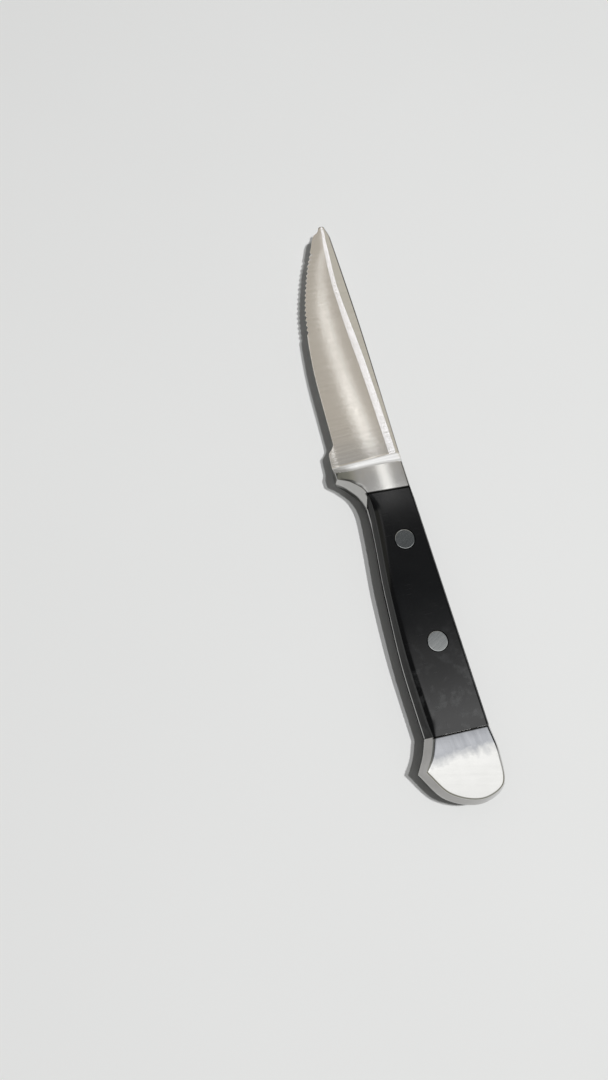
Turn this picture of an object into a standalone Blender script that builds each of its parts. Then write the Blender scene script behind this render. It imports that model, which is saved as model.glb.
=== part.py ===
"""A full-tang steak knife lying on its side, built from its separate pieces, in metres.

The knife frame has its origin where the rivet line crosses the shoulder of the bolster, halfway through the
thickness. +X points to the spine, +Y to the tip and +Z through the flat of the blade. One empty then carries
every piece, so that the whole knife rests on Z = 0 with the middle of its box over the origin.

A station is a cross-section of the knife at one place along Y. The joints of the handle lean a little, so a
station's points are sheared along Y by its skew.
"""

import math

import bmesh
import bpy
import numpy as np
from mathutils import Vector

# Blade
BLADE_LENGTH = 0.1132           # from the foot of the bolster's fillet to the tip
BLADE_THICKNESS = 0.0024        # at the ridge, next to the bolster
TIP_THICKNESS = 0.0011          # at the ridge, next to the tip
EDGE_THICKNESS = 0.0003         # left at the cutting edge
GRIND_CROWN = 0.18              # how far the ground face bulges over a straight wedge
TIP_RADIUS = 0.0022
TIP_FLAT = 0.0001               # half the width of the very end
TIP_OFFSET = 0.0091             # tip from the rivet line
TIP_STEP_BACK = 0.0030          # little step in the edge, behind the tip
TIP_STEP_OFFSET = 0.0059        # edge from the rivet line in front of that step, towards the spine
TIP_STEP_RUN = 0.0005
TIP_STEP_WIDTH = 0.0011
SPINE_OFFSET = 0.0108           # straight back of the knife from the rivet line
SPINE_CROWN = 0.0013            # most that the blade's spine stands beyond the straight back
SPINE_CROWN_BACK = 0.046        # distance of that crown behind the tip
SPINE_HALFWAY_SHARE = 0.6       # share of the crown that is reached halfway there
SPINE_NOSE_OFFSET = 0.0117      # spine from the rivet line where it starts to round to the tip
SPINE_NOSE_BACK = 0.0066
EDGE_OFFSET = 0.0150            # cutting edge from the rivet line, at the heel
BELLY_OFFSET = 0.0139           # the same where the belly starts
BELLY_LENGTH = 0.0724           # from the start of the belly to the tip
BELLY_MIDDLE_OFFSET = 0.0104    # cutting edge from the rivet line, partway along the belly
BELLY_MIDDLE_BACK = 0.0436      # distance of that place behind the tip
BELLY_FRONT_OFFSET = 0.0031     # the same nearer the tip
BELLY_FRONT_BACK = 0.0197
BELLY_NOSE_OFFSET = 0.0014      # the same next to the tip, on the spine's side of the rivet line
BELLY_NOSE_BACK = 0.0102
SWEDGE_WIDTH = 0.0043           # bevel along the spine, at its widest
SWEDGE_WIDTH_AT_HEEL = 0.0013
SWEDGE_WIDEST_BACK = 0.032      # distance of its widest place behind the tip
SWEDGE_HALFWAY_SHARE = 0.4      # share of the widening that is reached halfway there
SWEDGE_MOST = 0.4               # most of the blade's width that the bevel takes at the tip
SWEDGE_SLOPE = 0.11             # fall of the bevel for each unit of its width
HEEL_SETBACK = 0.0103           # end of the cutting edge from the foot of the fillet
HEEL_LIP_SETBACK = 0.0066       # front corner of the guard lip from the foot of the fillet
HEEL_HALFWAY_SHARE = 0.6        # share of the step from lip to edge that is reached halfway

# Serrations in the belly
TOOTH_COUNT = 17
TOOTH_PITCH = 0.00245
TOOTH_DEPTH = 0.00075
TEETH_BACK = 0.0115             # first tooth behind the tip, along Y

# Bolster
BOLSTER_LENGTH = 0.01145        # full-thickness part, on the rivet line
FILLET_RUN = 0.00545            # along Y, from the blade's face to the bolster's face
FILLET_SKEW = -0.055            # shear of the fillet's upper end
FILLET_BOW = 3.5                # how fast that end falls back to both sides, in metres for each metre squared
FILLET_CURL = 24.0              # how fast it comes forward again beyond the guard's root, the same way
SHOULDER_SKEW = -0.077          # shear of the shoulder that the scales butt against
SHOULDER_LEAN = 0.0042          # how much further back the shoulder is at the tang than at the face
LEAN_LENGTH = 0.0200            # over which that lean dies out in the scales
GUARD_REACH = 0.0184            # guard tip from the rivet line
GUARD_LIP_REACH = 0.0179        # its front corner, beside the blade
GUARD_ROOT = 0.0090             # where the guard starts to thin
GUARD_TIP_THICKNESS = 0.0072
GUARD_FALL_POWER = 2.0          # of the share of the way out, in that thinning
GUARD_SETBACK = 0.0091          # rear corner of the guard ahead of the shoulder
GUARD_CURVE_REACH = 0.0152      # the concave finger curve, partway down
GUARD_CURVE_SETBACK = 0.0067
GUARD_CURVE_FLARE = 0.0012      # waist beyond the face there
GUARD_THROAT_REACH = 0.0112     # the same further down
GUARD_THROAT_SETBACK = 0.0014
GUARD_FLARE = 0.0017

# Handle
HANDLE_THICKNESS = 0.0155
TANG_THICKNESS = 0.0025
HANDLE_LENGTH = 0.0980          # from the bolster's shoulder to the end cap, on the rivet line
NECK_REACH = 0.0097             # finger side from the rivet line, behind the bolster
NECK_SETBACK = 0.0045
NECK_FLARE = 0.0013             # waist beyond the face there
GRIP_REACH = 0.0131             # the same in the middle of the handle
GRIP_SETBACK = 0.0420
PALM_REACH = 0.0151             # the same at its fullest
PALM_SETBACK = 0.0760
TAIL_REACH = 0.0149             # the same at the end cap
SIDE_FLARE = 0.0010             # waist beyond the face in the middle, finger side
SIDE_FLARE_AT_PALM = 0.0019
SIDE_FLARE_AT_CAP = 0.0022
BACK_FLARE = 0.0021             # waist beyond the face, on the back
EDGE_ROUNDING = 0.0008          # rounding of the long edges of the faces
TANG_LIP = 0.0007               # tang beyond the scales, finger side, next to the bolster
TANG_LIP_LENGTH = 0.0140        # from the shoulder to where that lip has died out

# Tongue of the tang, inside the end cap
TONGUE_LENGTH = 0.0140
TONGUE_WIDTH = 0.0120
TONGUE_OFFSET = -0.0020         # middle of the tongue from the rivet line

# End cap
CAP_SKEW = -0.055               # shear of the joint between the scales and the cap
CAP_LENGTH = 0.0272
BEAK_REACH = 0.0213             # hooked corner on the finger side
BEAK_SETBACK = 0.0110
HOOK_REACH = 0.0174             # the concave curve that leads to it, partway down
HOOK_SETBACK = 0.0049
CHEEK_REACH = 0.0140            # the long round end, on the finger side
CHEEK_SETBACK = 0.0221
END_OFFSET = 0.0003             # lowest point of the round end
CORNER_REACH = 0.0085           # the tighter round corner on the back
CORNER_SETBACK = 0.0239
CAP_BACK_REACH = 0.0114
CAP_BACK_SETBACK = 0.0122
CAP_FLARE = 0.0020              # waist beyond the face, from the beak round the end

# Rivets
RIVET_SETBACK = 0.02115         # front rivet from the shoulder
RIVET_SPACING = 0.04227
RIVET_HEAD_DIAMETER = 0.0079
RIVET_HEAD_THICKNESS = 0.0016
RIVET_HEAD_CHAMFER = 0.0001
SLEEVE_DIAMETER = 0.0050
PIN_DIAMETER = 0.0026

# Fits
FIT_GAP = 0.0003                # between pieces that touch
TANG_INSET = 0.00005            # the tang's rim inside the bolster's

SECTION_POINTS = 12             # points across one face of a station of the forging
ROUND_SEGMENTS = 40

SHOULDER_Y = 0.0
FILLET_TOP_Y = SHOULDER_Y + BOLSTER_LENGTH
FILLET_FOOT_Y = FILLET_TOP_Y + FILLET_RUN
TIP_Y = FILLET_FOOT_Y + BLADE_LENGTH
CAP_FRONT_Y = SHOULDER_Y - HANDLE_LENGTH
HALF_HANDLE = HANDLE_THICKNESS / 2
HALF_TANG = TANG_THICKNESS / 2
RIVET_PLACES = {
    "front_rivet": SHOULDER_Y - RIVET_SETBACK,
    "rear_rivet": SHOULDER_Y - RIVET_SETBACK - RIVET_SPACING,
}

# The steels and the plastic, as colour, roughness and metallic
BLADE_STEEL = ((0.62, 0.60, 0.56), 0.28, 1.0)
CAP_STEEL = ((0.72, 0.72, 0.71), 0.24, 1.0)
RIVET_STEEL = ((0.50, 0.50, 0.49), 0.38, 1.0)
BLACK_PLASTIC = ((0.012, 0.012, 0.013), 0.42, 0.0)


def cubic_through(ys, xs, slopes):
    """A function of y made of cubic pieces, with the given slope at each of its points."""

    def at(y):
        y = np.clip(y, ys[0], ys[-1])
        i = int(np.clip(np.searchsorted(ys, y) - 1, 0, len(ys) - 2))
        span = ys[i + 1] - ys[i]
        t = (y - ys[i]) / span
        start = (2 * t**3 - 3 * t**2 + 1) * xs[i] + (t**3 - 2 * t**2 + t) * span * slopes[i]
        end = (3 * t**2 - 2 * t**3) * xs[i + 1] + (t**3 - t**2) * span * slopes[i + 1]
        return float(start + end)

    return at


def smooth_curve(points):
    """A function of y through the (y, x) points, level at each crest and no wider than they are."""
    ys, xs = np.array(sorted(points)).T
    rises = np.diff(xs) / np.diff(ys)
    before, after = rises[:-1], rises[1:]
    same_way = before * after > 0
    slopes = np.zeros(len(ys))
    slopes[0], slopes[-1] = rises[0], rises[-1]
    slopes[1:-1][same_way] = 2 / (1 / before[same_way] + 1 / after[same_way])
    return cubic_through(ys, xs, slopes)


def smooth_path(points, steps):
    """Points along a curve through the (x, y) points, with the same number of steps in each span."""
    points = np.array(points)
    chords = np.linalg.norm(np.diff(points, axis=0), axis=1)
    length = np.concatenate([[0.0], np.cumsum(chords)])
    across = cubic_through(length, points[:, 0], np.gradient(points[:, 0], length))
    along = cubic_through(length, points[:, 1], np.gradient(points[:, 1], length))
    spans = [np.linspace(a, b, steps, endpoint=False) for a, b in zip(length[:-1], length[1:])]
    places = np.append(np.concatenate(spans), length[-1])
    return [(across(place), along(place)) for place in places]


def between(start, end, share):
    return start + (end - start) * share


def material(name, look):
    colour, roughness, metallic = look
    made = bpy.data.materials.new(name)
    made.use_nodes = True
    shader = made.node_tree.nodes["Principled BSDF"]
    shader.inputs["Base Color"].default_value = (*colour, 1.0)
    shader.inputs["Roughness"].default_value = roughness
    shader.inputs["Metallic"].default_value = metallic
    made.diffuse_color = (*colour, 1.0)
    return made


def loft(name, rings, finish):
    """A closed body whose skin runs through the rings in turn, each end closed by a fan about its middle."""
    count = len(rings[0])
    mesh = bpy.data.meshes.new(name)
    builder = bmesh.new()
    rows = [[builder.verts.new(point) for point in ring] for ring in rings]
    for row, after in zip(rows[:-1], rows[1:]):
        for i in range(count):
            j = (i + 1) % count
            builder.faces.new((row[i], row[j], after[j], after[i]))
    for row in (rows[0], rows[-1]):
        middle = builder.verts.new(sum((vert.co for vert in row), Vector()) / count)
        for i in range(count):
            builder.faces.new((row[i], row[(i + 1) % count], middle))
    bmesh.ops.recalc_face_normals(builder, faces=builder.faces)
    builder.to_mesh(mesh)
    builder.free()
    mesh.materials.append(finish)
    mesh.shade_smooth()
    mesh.set_sharp_from_angle(angle=math.radians(25))
    obj = bpy.data.objects.new(name, mesh)
    bpy.context.scene.collection.objects.link(obj)
    return obj


def circle(radius, z):
    angles = np.arange(ROUND_SEGMENTS) * math.tau / ROUND_SEGMENTS
    return [(radius * math.cos(a), radius * math.sin(a), z) for a in angles]


def cut(obj, cutter):
    cutter.hide_render = True
    cutter.display_type = "WIRE"
    difference = obj.modifiers.new("cut_" + cutter.name, "BOOLEAN")
    difference.operation = "DIFFERENCE"
    difference.solver = "EXACT"
    difference.object = cutter


def skew_at(y):
    """Shear of the station at y: none at the foot of the fillet, then that of each joint in turn."""
    places = [CAP_FRONT_Y, SHOULDER_Y, FILLET_TOP_Y, FILLET_FOOT_Y]
    return float(np.interp(y, places, [CAP_SKEW, SHOULDER_SKEW, FILLET_SKEW, 0.0]))


def front_share(y):
    """How much of the shape of the bolster's front the station at y has."""
    return float(np.interp(y, [SHOULDER_Y, FILLET_TOP_Y, FILLET_FOOT_Y], [0.0, 1.0, 0.0]))


def lean_at(y):
    """How much further back the station at y is at the tang's face than at the handle's face."""
    places = [SHOULDER_Y - LEAN_LENGTH, SHOULDER_Y, SHOULDER_Y + GUARD_CURVE_SETBACK]
    return float(np.interp(y, places, [0.0, SHOULDER_LEAN, 0.0]))


def set_along(y, x, z):
    """Where along Y a point of the station at y lies, after its skew, its lean and the shape of the front."""
    front = FILLET_CURL * min(x + GUARD_ROOT, 0.0)**2 - FILLET_BOW * x**2
    down = (HALF_HANDLE - abs(z)) / (HALF_HANDLE - HALF_TANG)
    return y + skew_at(y) * x + front_share(y) * front - lean_at(y) * down


def station(y, face):
    """A ring through the (x, z) points of the upper face and their mirror images below the blade's plane."""
    upper = [(x, set_along(y, x, z), z) for x, z in face]
    lower = [(x, y, -z) for x, y, z in reversed(upper)]
    return upper + lower


def finger_side():
    """The waist of the handle on the finger side, from the guard to the end cap, as x of y."""
    return smooth_curve([
        (SHOULDER_Y + GUARD_SETBACK, -GUARD_REACH),
        (SHOULDER_Y + GUARD_CURVE_SETBACK, -GUARD_CURVE_REACH),
        (SHOULDER_Y + GUARD_THROAT_SETBACK, -GUARD_THROAT_REACH),
        (SHOULDER_Y - NECK_SETBACK, -NECK_REACH),
        (SHOULDER_Y - GRIP_SETBACK, -GRIP_REACH),
        (SHOULDER_Y - PALM_SETBACK, -PALM_REACH),
        (CAP_FRONT_Y, -TAIL_REACH),
    ])


def finger_flare():
    """How far the waist stands beyond the face on the finger side, as a width of y."""
    return smooth_curve([
        (SHOULDER_Y + GUARD_SETBACK, 0.0),
        (SHOULDER_Y + GUARD_CURVE_SETBACK, GUARD_CURVE_FLARE),
        (SHOULDER_Y + GUARD_THROAT_SETBACK, GUARD_FLARE),
        (SHOULDER_Y - NECK_SETBACK, NECK_FLARE),
        (SHOULDER_Y - GRIP_SETBACK, SIDE_FLARE),
        (SHOULDER_Y - PALM_SETBACK, SIDE_FLARE_AT_PALM),
        (CAP_FRONT_Y, SIDE_FLARE_AT_CAP),
    ])


FINGER_SIDE = finger_side()
FINGER_FLARE = finger_flare()


def rounded_corner(waist, corner, inner, rounding=EDGE_ROUNDING):
    """Three points that round the corner between a wall, which rises from the waist, and a face."""
    waist, corner, inner = Vector(waist), Vector(corner), Vector(inner)
    start = corner + (waist - corner).normalized() * rounding
    end = corner + (inner - corner).normalized() * rounding
    middle = (start + end + 2 * corner) / 4
    return [tuple(start), tuple(middle), tuple(end)]


def spine_curve():
    """The blade's spine, from the straight back over its slight crown to the tip, as x of y."""
    crown_y = TIP_Y - SPINE_CROWN_BACK
    return smooth_curve([
        (FILLET_FOOT_Y, SPINE_OFFSET),
        (between(FILLET_FOOT_Y, crown_y, 0.5), SPINE_OFFSET + SPINE_CROWN * SPINE_HALFWAY_SHARE),
        (crown_y, SPINE_OFFSET + SPINE_CROWN),
        (TIP_Y - SPINE_NOSE_BACK, SPINE_NOSE_OFFSET),
        (TIP_Y, TIP_OFFSET + TIP_RADIUS / 2),
    ])


def swedge_curve():
    """The width of the bevel along the spine, as a width of y."""
    halfway = between(FILLET_FOOT_Y, TIP_Y - SWEDGE_WIDEST_BACK, 0.5)
    return smooth_curve([
        (FILLET_FOOT_Y, SWEDGE_WIDTH_AT_HEEL),
        (halfway, between(SWEDGE_WIDTH_AT_HEEL, SWEDGE_WIDTH, SWEDGE_HALFWAY_SHARE)),
        (TIP_Y - SWEDGE_WIDEST_BACK, SWEDGE_WIDTH),
        (TIP_Y, SWEDGE_WIDTH / 2),
    ])


def edge_curve():
    """The cutting edge without its teeth, from the guard lip to the tip, as x of y."""
    heel = FILLET_FOOT_Y + HEEL_SETBACK
    lip = FILLET_FOOT_Y + HEEL_LIP_SETBACK
    step = TIP_Y - TIP_STEP_BACK
    return smooth_curve([
        (FILLET_FOOT_Y, -GUARD_REACH),
        (lip, -GUARD_LIP_REACH),
        (between(lip, heel, 0.5), -between(GUARD_LIP_REACH, EDGE_OFFSET, HEEL_HALFWAY_SHARE)),
        (heel, -EDGE_OFFSET),
        (between(heel, TIP_Y - BELLY_LENGTH, 0.5), -between(EDGE_OFFSET, BELLY_OFFSET, 0.5)),
        (TIP_Y - BELLY_LENGTH, -BELLY_OFFSET),
        (TIP_Y - BELLY_MIDDLE_BACK, -BELLY_MIDDLE_OFFSET),
        (TIP_Y - BELLY_FRONT_BACK, -BELLY_FRONT_OFFSET),
        (TIP_Y - BELLY_NOSE_BACK, BELLY_NOSE_OFFSET),
        (step - TIP_STEP_RUN, TIP_STEP_OFFSET - TIP_STEP_WIDTH),
        (step, TIP_STEP_OFFSET),
        (TIP_Y - TIP_RADIUS, TIP_OFFSET - TIP_RADIUS),
        (TIP_Y, TIP_OFFSET - TIP_RADIUS / 2),
    ])


SPINE = spine_curve()
SWEDGE = swedge_curve()
EDGE = edge_curve()


def blade_outline(y):
    """Edge and spine at y, both drawn in to the round tip."""
    edge = EDGE(y)
    spine = SPINE(y)
    back = TIP_Y - y
    if back < TIP_RADIUS:
        half = math.sqrt(max(TIP_RADIUS**2 - (TIP_RADIUS - back)**2, 0.0)) + TIP_FLAT
        edge = max(edge, TIP_OFFSET - half)
        spine = min(spine, TIP_OFFSET + half)
    return edge, spine


def blade_face(y, tooth_cut=0.0):
    """The (x, z) points of the blade's face at y, from the edge over the ridge to the spine."""
    edge, spine = blade_outline(y)
    back = TIP_Y - y
    width = spine - edge
    swedge = min(SWEDGE(y), width * SWEDGE_MOST)
    ridge = between(BLADE_THICKNESS, TIP_THICKNESS, 1 - np.clip(back / BLADE_LENGTH, 0, 1)) / 2
    face = []
    for share in np.linspace(0.0, 1.0, SECTION_POINTS - 2):
        x = edge + share * (width - swedge)
        rise = share * (1 + GRIND_CROWN * (1 - share))
        face.append((x, between(EDGE_THICKNESS / 2, ridge, rise)))
    face[0] = (edge + tooth_cut, face[0][1])
    face.append((spine - swedge / 2, ridge - SWEDGE_SLOPE * swedge / 2))
    face.append((spine, ridge - SWEDGE_SLOPE * swedge))
    return face


def bolster_face(y, rise=1.0):
    """The (x, z) points of the bolster's face at y, thinner towards the guard's tip.

    Rise is how far the fillet has come up there, from 0 on the blade to 1 at the bolster's full thickness.
    """
    blade = np.array(blade_face(FILLET_FOOT_Y))
    finger = FINGER_SIDE(y - lean_at(y))
    left = FINGER_SIDE(y) + FINGER_FLARE(y) * rise
    right = SPINE_OFFSET - BACK_FLARE * rise

    def height(x):
        out = np.clip((-GUARD_ROOT - x) / (GUARD_REACH - GUARD_ROOT), 0.0, 1.0)
        full = HALF_HANDLE - (HANDLE_THICKNESS - GUARD_TIP_THICKNESS) / 2 * out**GUARD_FALL_POWER
        return min(full, between(float(np.interp(x, blade[:, 0], blade[:, 1])), HALF_HANDLE, rise))

    inner = [(x, height(x)) for x in np.linspace(left, right, SECTION_POINTS - 4)[1:-1]]
    waist_left = (finger, between(blade[0, 1], HALF_TANG, rise))
    waist_right = (SPINE_OFFSET, between(blade[-1, 1], HALF_TANG, rise))
    left_corner = rounded_corner(waist_left, (left, height(left)), inner[0], EDGE_ROUNDING * rise)
    right_corner = rounded_corner(waist_right, (right, height(right)), inner[-1], EDGE_ROUNDING * rise)
    face = [waist_left, left_corner[0], left_corner[2]] + inner
    return face + [right_corner[2], right_corner[0], waist_right]


def tooth_stations():
    """(y, cut) along the serrations: a notch between each two teeth, the pitch measured along the edge."""
    ys = np.linspace(TIP_Y - BELLY_LENGTH - TOOTH_COUNT * TOOTH_PITCH, TIP_Y - TEETH_BACK, 600)
    xs = np.array([EDGE(y) for y in ys])
    length = np.concatenate([[0.0], np.cumsum(np.hypot(np.diff(xs), np.diff(ys)))])
    halves = np.arange(2 * TOOTH_COUNT + 1)[::-1]
    places = length[-1] - halves * TOOTH_PITCH / 2
    return list(zip(np.interp(places, length, ys), TOOTH_DEPTH * (halves % 2)))


def blade_stations():
    """The blade's rings, from the foot of the fillet to the tip."""
    teeth = tooth_stations()
    heel = FILLET_FOOT_Y + HEEL_SETBACK
    plain = list(np.linspace(FILLET_FOOT_Y, heel, 12)) + list(np.linspace(heel, teeth[0][0], 9))[1:-1]
    ahead = list(np.linspace(teeth[-1][0], TIP_Y - TIP_RADIUS, 7))[1:]
    round_tip = [TIP_Y - TIP_RADIUS * (1 - math.sin(a)) for a in np.linspace(0, math.pi / 2, 7)[1:]]
    places = [(y, 0.0) for y in plain] + teeth + [(y, 0.0) for y in ahead + round_tip]
    return [station(y, blade_face(y, tooth)) for y, tooth in places]


def bolster_stations():
    """The bolster's rings, from the shoulder to the top of the fillet, then down the fillet's hollow."""
    curve = np.linspace(SHOULDER_Y, SHOULDER_Y + GUARD_SETBACK, 12)
    rings = [station(y, bolster_face(y)) for y in list(curve) + [FILLET_TOP_Y]]
    for angle in np.linspace(math.pi / 2, 0, 9)[1:-1]:
        y = FILLET_FOOT_Y - FILLET_RUN * math.sin(angle)
        rings.append(station(y, bolster_face(y, 1 - math.cos(angle))))
    return rings


def flat_face(left, right, half):
    return [(x, half) for x in np.linspace(left, right, SECTION_POINTS)]


def tang_stations():
    """The tang's rings, from the end of its tongue to the shoulder."""
    tang_end = CAP_FRONT_Y + FIT_GAP
    back = SPINE_OFFSET - TANG_INSET
    tongue = (TONGUE_OFFSET - TONGUE_WIDTH / 2, TONGUE_OFFSET + TONGUE_WIDTH / 2)
    rings = [station(CAP_FRONT_Y - TONGUE_LENGTH, flat_face(*tongue, HALF_TANG))]
    rings.append(station(tang_end, flat_face(*tongue, HALF_TANG)))
    for y in np.linspace(tang_end, SHOULDER_Y, 26):
        waist = FINGER_SIDE(y - lean_at(y))
        rings.append(station(y, flat_face(waist + TANG_INSET, back, HALF_TANG)))
    return rings


def add_blade(finish):
    """Blade, guard, bolster and tang, forged in one piece."""
    blade = loft("blade_and_tang", tang_stations() + bolster_stations() + blade_stations(), finish)
    for name, y in RIVET_PLACES.items():
        hole = loft(name + "_tang_hole", [circle(SLEEVE_DIAMETER / 2 + FIT_GAP, z)
                                          for z in (-TANG_THICKNESS, TANG_THICKNESS)], finish)
        hole.location.y = y
        cut(blade, hole)
    return blade


def tang_lip(y):
    """How far the tang stands beyond the scales at y, on the finger side."""
    places = [SHOULDER_Y - TANG_LIP_LENGTH, SHOULDER_Y - SHOULDER_LEAN]
    return float(np.interp(y, places, [0.0, TANG_LIP]))


def scale_ring(y, sign):
    """One scale's section at y: flat against the tang, sloping walls, rounded long edges and a flat face."""
    base = HALF_TANG + FIT_GAP
    share = (base - HALF_TANG) / (HALF_HANDLE - HALF_TANG)
    foot_y = y - lean_at(y)
    left = FINGER_SIDE(y) + FINGER_FLARE(y)
    right = SPINE_OFFSET - BACK_FLARE
    left_foot = (between(FINGER_SIDE(foot_y) + tang_lip(foot_y), left, share), base)
    right_foot = (between(SPINE_OFFSET, right, share), base)
    face = [left_foot]
    face += rounded_corner(left_foot, (left, HALF_HANDLE), (right, HALF_HANDLE))
    face += rounded_corner(right_foot, (right, HALF_HANDLE), (left, HALF_HANDLE))[::-1]
    face.append(right_foot)
    return [(x, set_along(y, x, z), sign * z) for x, z in face]


def add_scale(name, sign, finish):
    """One of the two plastic scales, with a stepped hole for each rivet."""
    ends = (SHOULDER_Y - FIT_GAP, CAP_FRONT_Y + FIT_GAP)
    scale = loft(name, [scale_ring(y, sign) for y in np.linspace(*ends, 30)], finish)
    shank = SLEEVE_DIAMETER / 2 + FIT_GAP
    head = RIVET_HEAD_DIAMETER / 2 + FIT_GAP
    seat = HALF_HANDLE - RIVET_HEAD_THICKNESS - FIT_GAP
    for rivet, y in RIVET_PLACES.items():
        rings = [circle(shank, 0), circle(shank, sign * seat), circle(head, sign * seat),
                 circle(head, sign * HANDLE_THICKNESS)]
        hole = loft(f"{rivet}_{name}_hole", rings, finish)
        hole.location.y = y
        cut(scale, hole)
    return scale


def cap_outline(share, extra=0.0):
    """The cap seen from above, as (x, y) points from its joint's left end round to its right end.

    Share is 0 at the waist and 1 at the face. Extra is how much further in the outline lies.
    """
    left, right = -TAIL_REACH, SPINE_OFFSET
    waist = np.array([
        (left, CAP_FRONT_Y + CAP_SKEW * left),
        (-HOOK_REACH, CAP_FRONT_Y - HOOK_SETBACK),
        (-BEAK_REACH, CAP_FRONT_Y - BEAK_SETBACK),
        (-CHEEK_REACH, CAP_FRONT_Y - CHEEK_SETBACK),
        (END_OFFSET, CAP_FRONT_Y - CAP_LENGTH),
        (CORNER_REACH, CAP_FRONT_Y - CORNER_SETBACK),
        (CAP_BACK_REACH, CAP_FRONT_Y - CAP_BACK_SETBACK),
        (right, CAP_FRONT_Y + CAP_SKEW * right),
    ])
    tangent = np.gradient(waist, axis=0)
    tangent /= np.linalg.norm(tangent, axis=1)[:, None]
    inward = np.stack([-tangent[:, 1], tangent[:, 0]], axis=1)
    inward[0] = (1.0, CAP_SKEW)
    inward[-1] = (-1.0, -CAP_SKEW)
    flare = np.full(len(waist), CAP_FLARE)
    flare[0], flare[-1] = SIDE_FLARE_AT_CAP, BACK_FLARE
    points = waist + inward * (flare * share + extra)[:, None]
    return np.array(smooth_path(points[:3], 8)[:-1] + smooth_path(points[2:], 9))


def add_end_cap(finish):
    """The steel cap at the butt, with a blind slot that the tang's tongue goes into."""
    shoulder = cap_outline(1 - EDGE_ROUNDING / (HALF_HANDLE - HALF_TANG))
    face = cap_outline(1.0, EDGE_ROUNDING)
    levels = [
        (face, HALF_HANDLE),
        ((shoulder + face + 2 * cap_outline(1.0)) / 4, HALF_HANDLE - EDGE_ROUNDING / 4),
        (shoulder, HALF_HANDLE - EDGE_ROUNDING),
        (cap_outline(0.0), HALF_TANG),
    ]
    rings = []
    for outline, z in levels + [(outline, -z) for outline, z in reversed(levels)]:
        joint = [tuple(between(outline[-1], outline[0], share)) for share in np.linspace(0, 1, 9)[1:-1]]
        rings.append([(x, y, z) for x, y in list(outline) + joint])
    cap = loft("end_cap", rings, finish)
    left = TONGUE_OFFSET - TONGUE_WIDTH / 2 - FIT_GAP
    right = TONGUE_OFFSET + TONGUE_WIDTH / 2 + FIT_GAP
    half_slot = HALF_TANG + FIT_GAP
    corners = [(left, -half_slot), (right, -half_slot), (right, half_slot), (left, half_slot)]
    slot = [[(x, y, z) for x, z in corners]
            for y in (CAP_FRONT_Y - TONGUE_LENGTH - FIT_GAP, CAP_FRONT_Y + TONGUE_LENGTH)]
    cut(cap, loft("tongue_slot", slot, finish))
    return cap


def add_rivet(name, y, finish):
    """A two-piece rivet: a sleeve with a head above, and a pin with a head below that goes up its bore."""
    head = RIVET_HEAD_DIAMETER / 2
    under_head = HALF_HANDLE - RIVET_HEAD_THICKNESS
    bore = PIN_DIAMETER / 2 + FIT_GAP
    bore_end = under_head - FIT_GAP
    sleeve_end = -under_head + FIT_GAP
    pin_end = bore_end - FIT_GAP
    edge = RIVET_HEAD_CHAMFER
    sleeve = loft(name + "_sleeve", [
        circle(bore, bore_end),
        circle(bore, sleeve_end),
        circle(SLEEVE_DIAMETER / 2, sleeve_end),
        circle(SLEEVE_DIAMETER / 2, under_head),
        circle(head, under_head),
        circle(head, HALF_HANDLE - edge),
        circle(head - edge, HALF_HANDLE),
    ], finish)
    pin = loft(name + "_pin", [
        circle(PIN_DIAMETER / 2, pin_end),
        circle(PIN_DIAMETER / 2, -under_head),
        circle(head, -under_head),
        circle(head, -HALF_HANDLE + edge),
        circle(head - edge, -HALF_HANDLE),
    ], finish)
    for piece in (sleeve, pin):
        piece.location.y = y


def lay_on_ground():
    """Hangs every piece on one empty, so that the knife rests on Z = 0 and is centred over the origin."""
    carrier = bpy.data.objects.new("steak_knife", None)
    bpy.context.scene.collection.objects.link(carrier)
    pieces = [obj for obj in bpy.context.scene.objects if obj.type == "MESH"]
    bpy.context.view_layer.update()
    corners = np.array([obj.matrix_world @ vert.co for obj in pieces if not obj.hide_render
                        for vert in obj.data.vertices])
    low, high = corners.min(axis=0), corners.max(axis=0)
    for obj in pieces:
        obj.parent = carrier
    carrier.location = (-(low[0] + high[0]) / 2, -(low[1] + high[1]) / 2, -low[2])


def main():
    for obj in list(bpy.data.objects):
        bpy.data.objects.remove(obj, do_unlink=True)
    plastic = material("black_plastic", BLACK_PLASTIC)
    rivet_steel = material("rivet_steel", RIVET_STEEL)
    add_blade(material("blade_steel", BLADE_STEEL))
    add_scale("upper_scale", 1, plastic)
    add_scale("lower_scale", -1, plastic)
    add_end_cap(material("cap_steel", CAP_STEEL))
    for name, y in RIVET_PLACES.items():
        add_rivet(name, y, rivet_steel)
    lay_on_ground()


main()
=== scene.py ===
"""A steak knife lying on one side of its handle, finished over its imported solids, in metres.

Every piece is first worked out in the knife's own frame, with the origin where the rivet line crosses the
bolster's shoulder, +X to the spine, +Y to the tip and +Z through the flat, and then set down at PLACE.
"""

import math

import bpy
import numpy as np
from mathutils import Matrix


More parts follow.
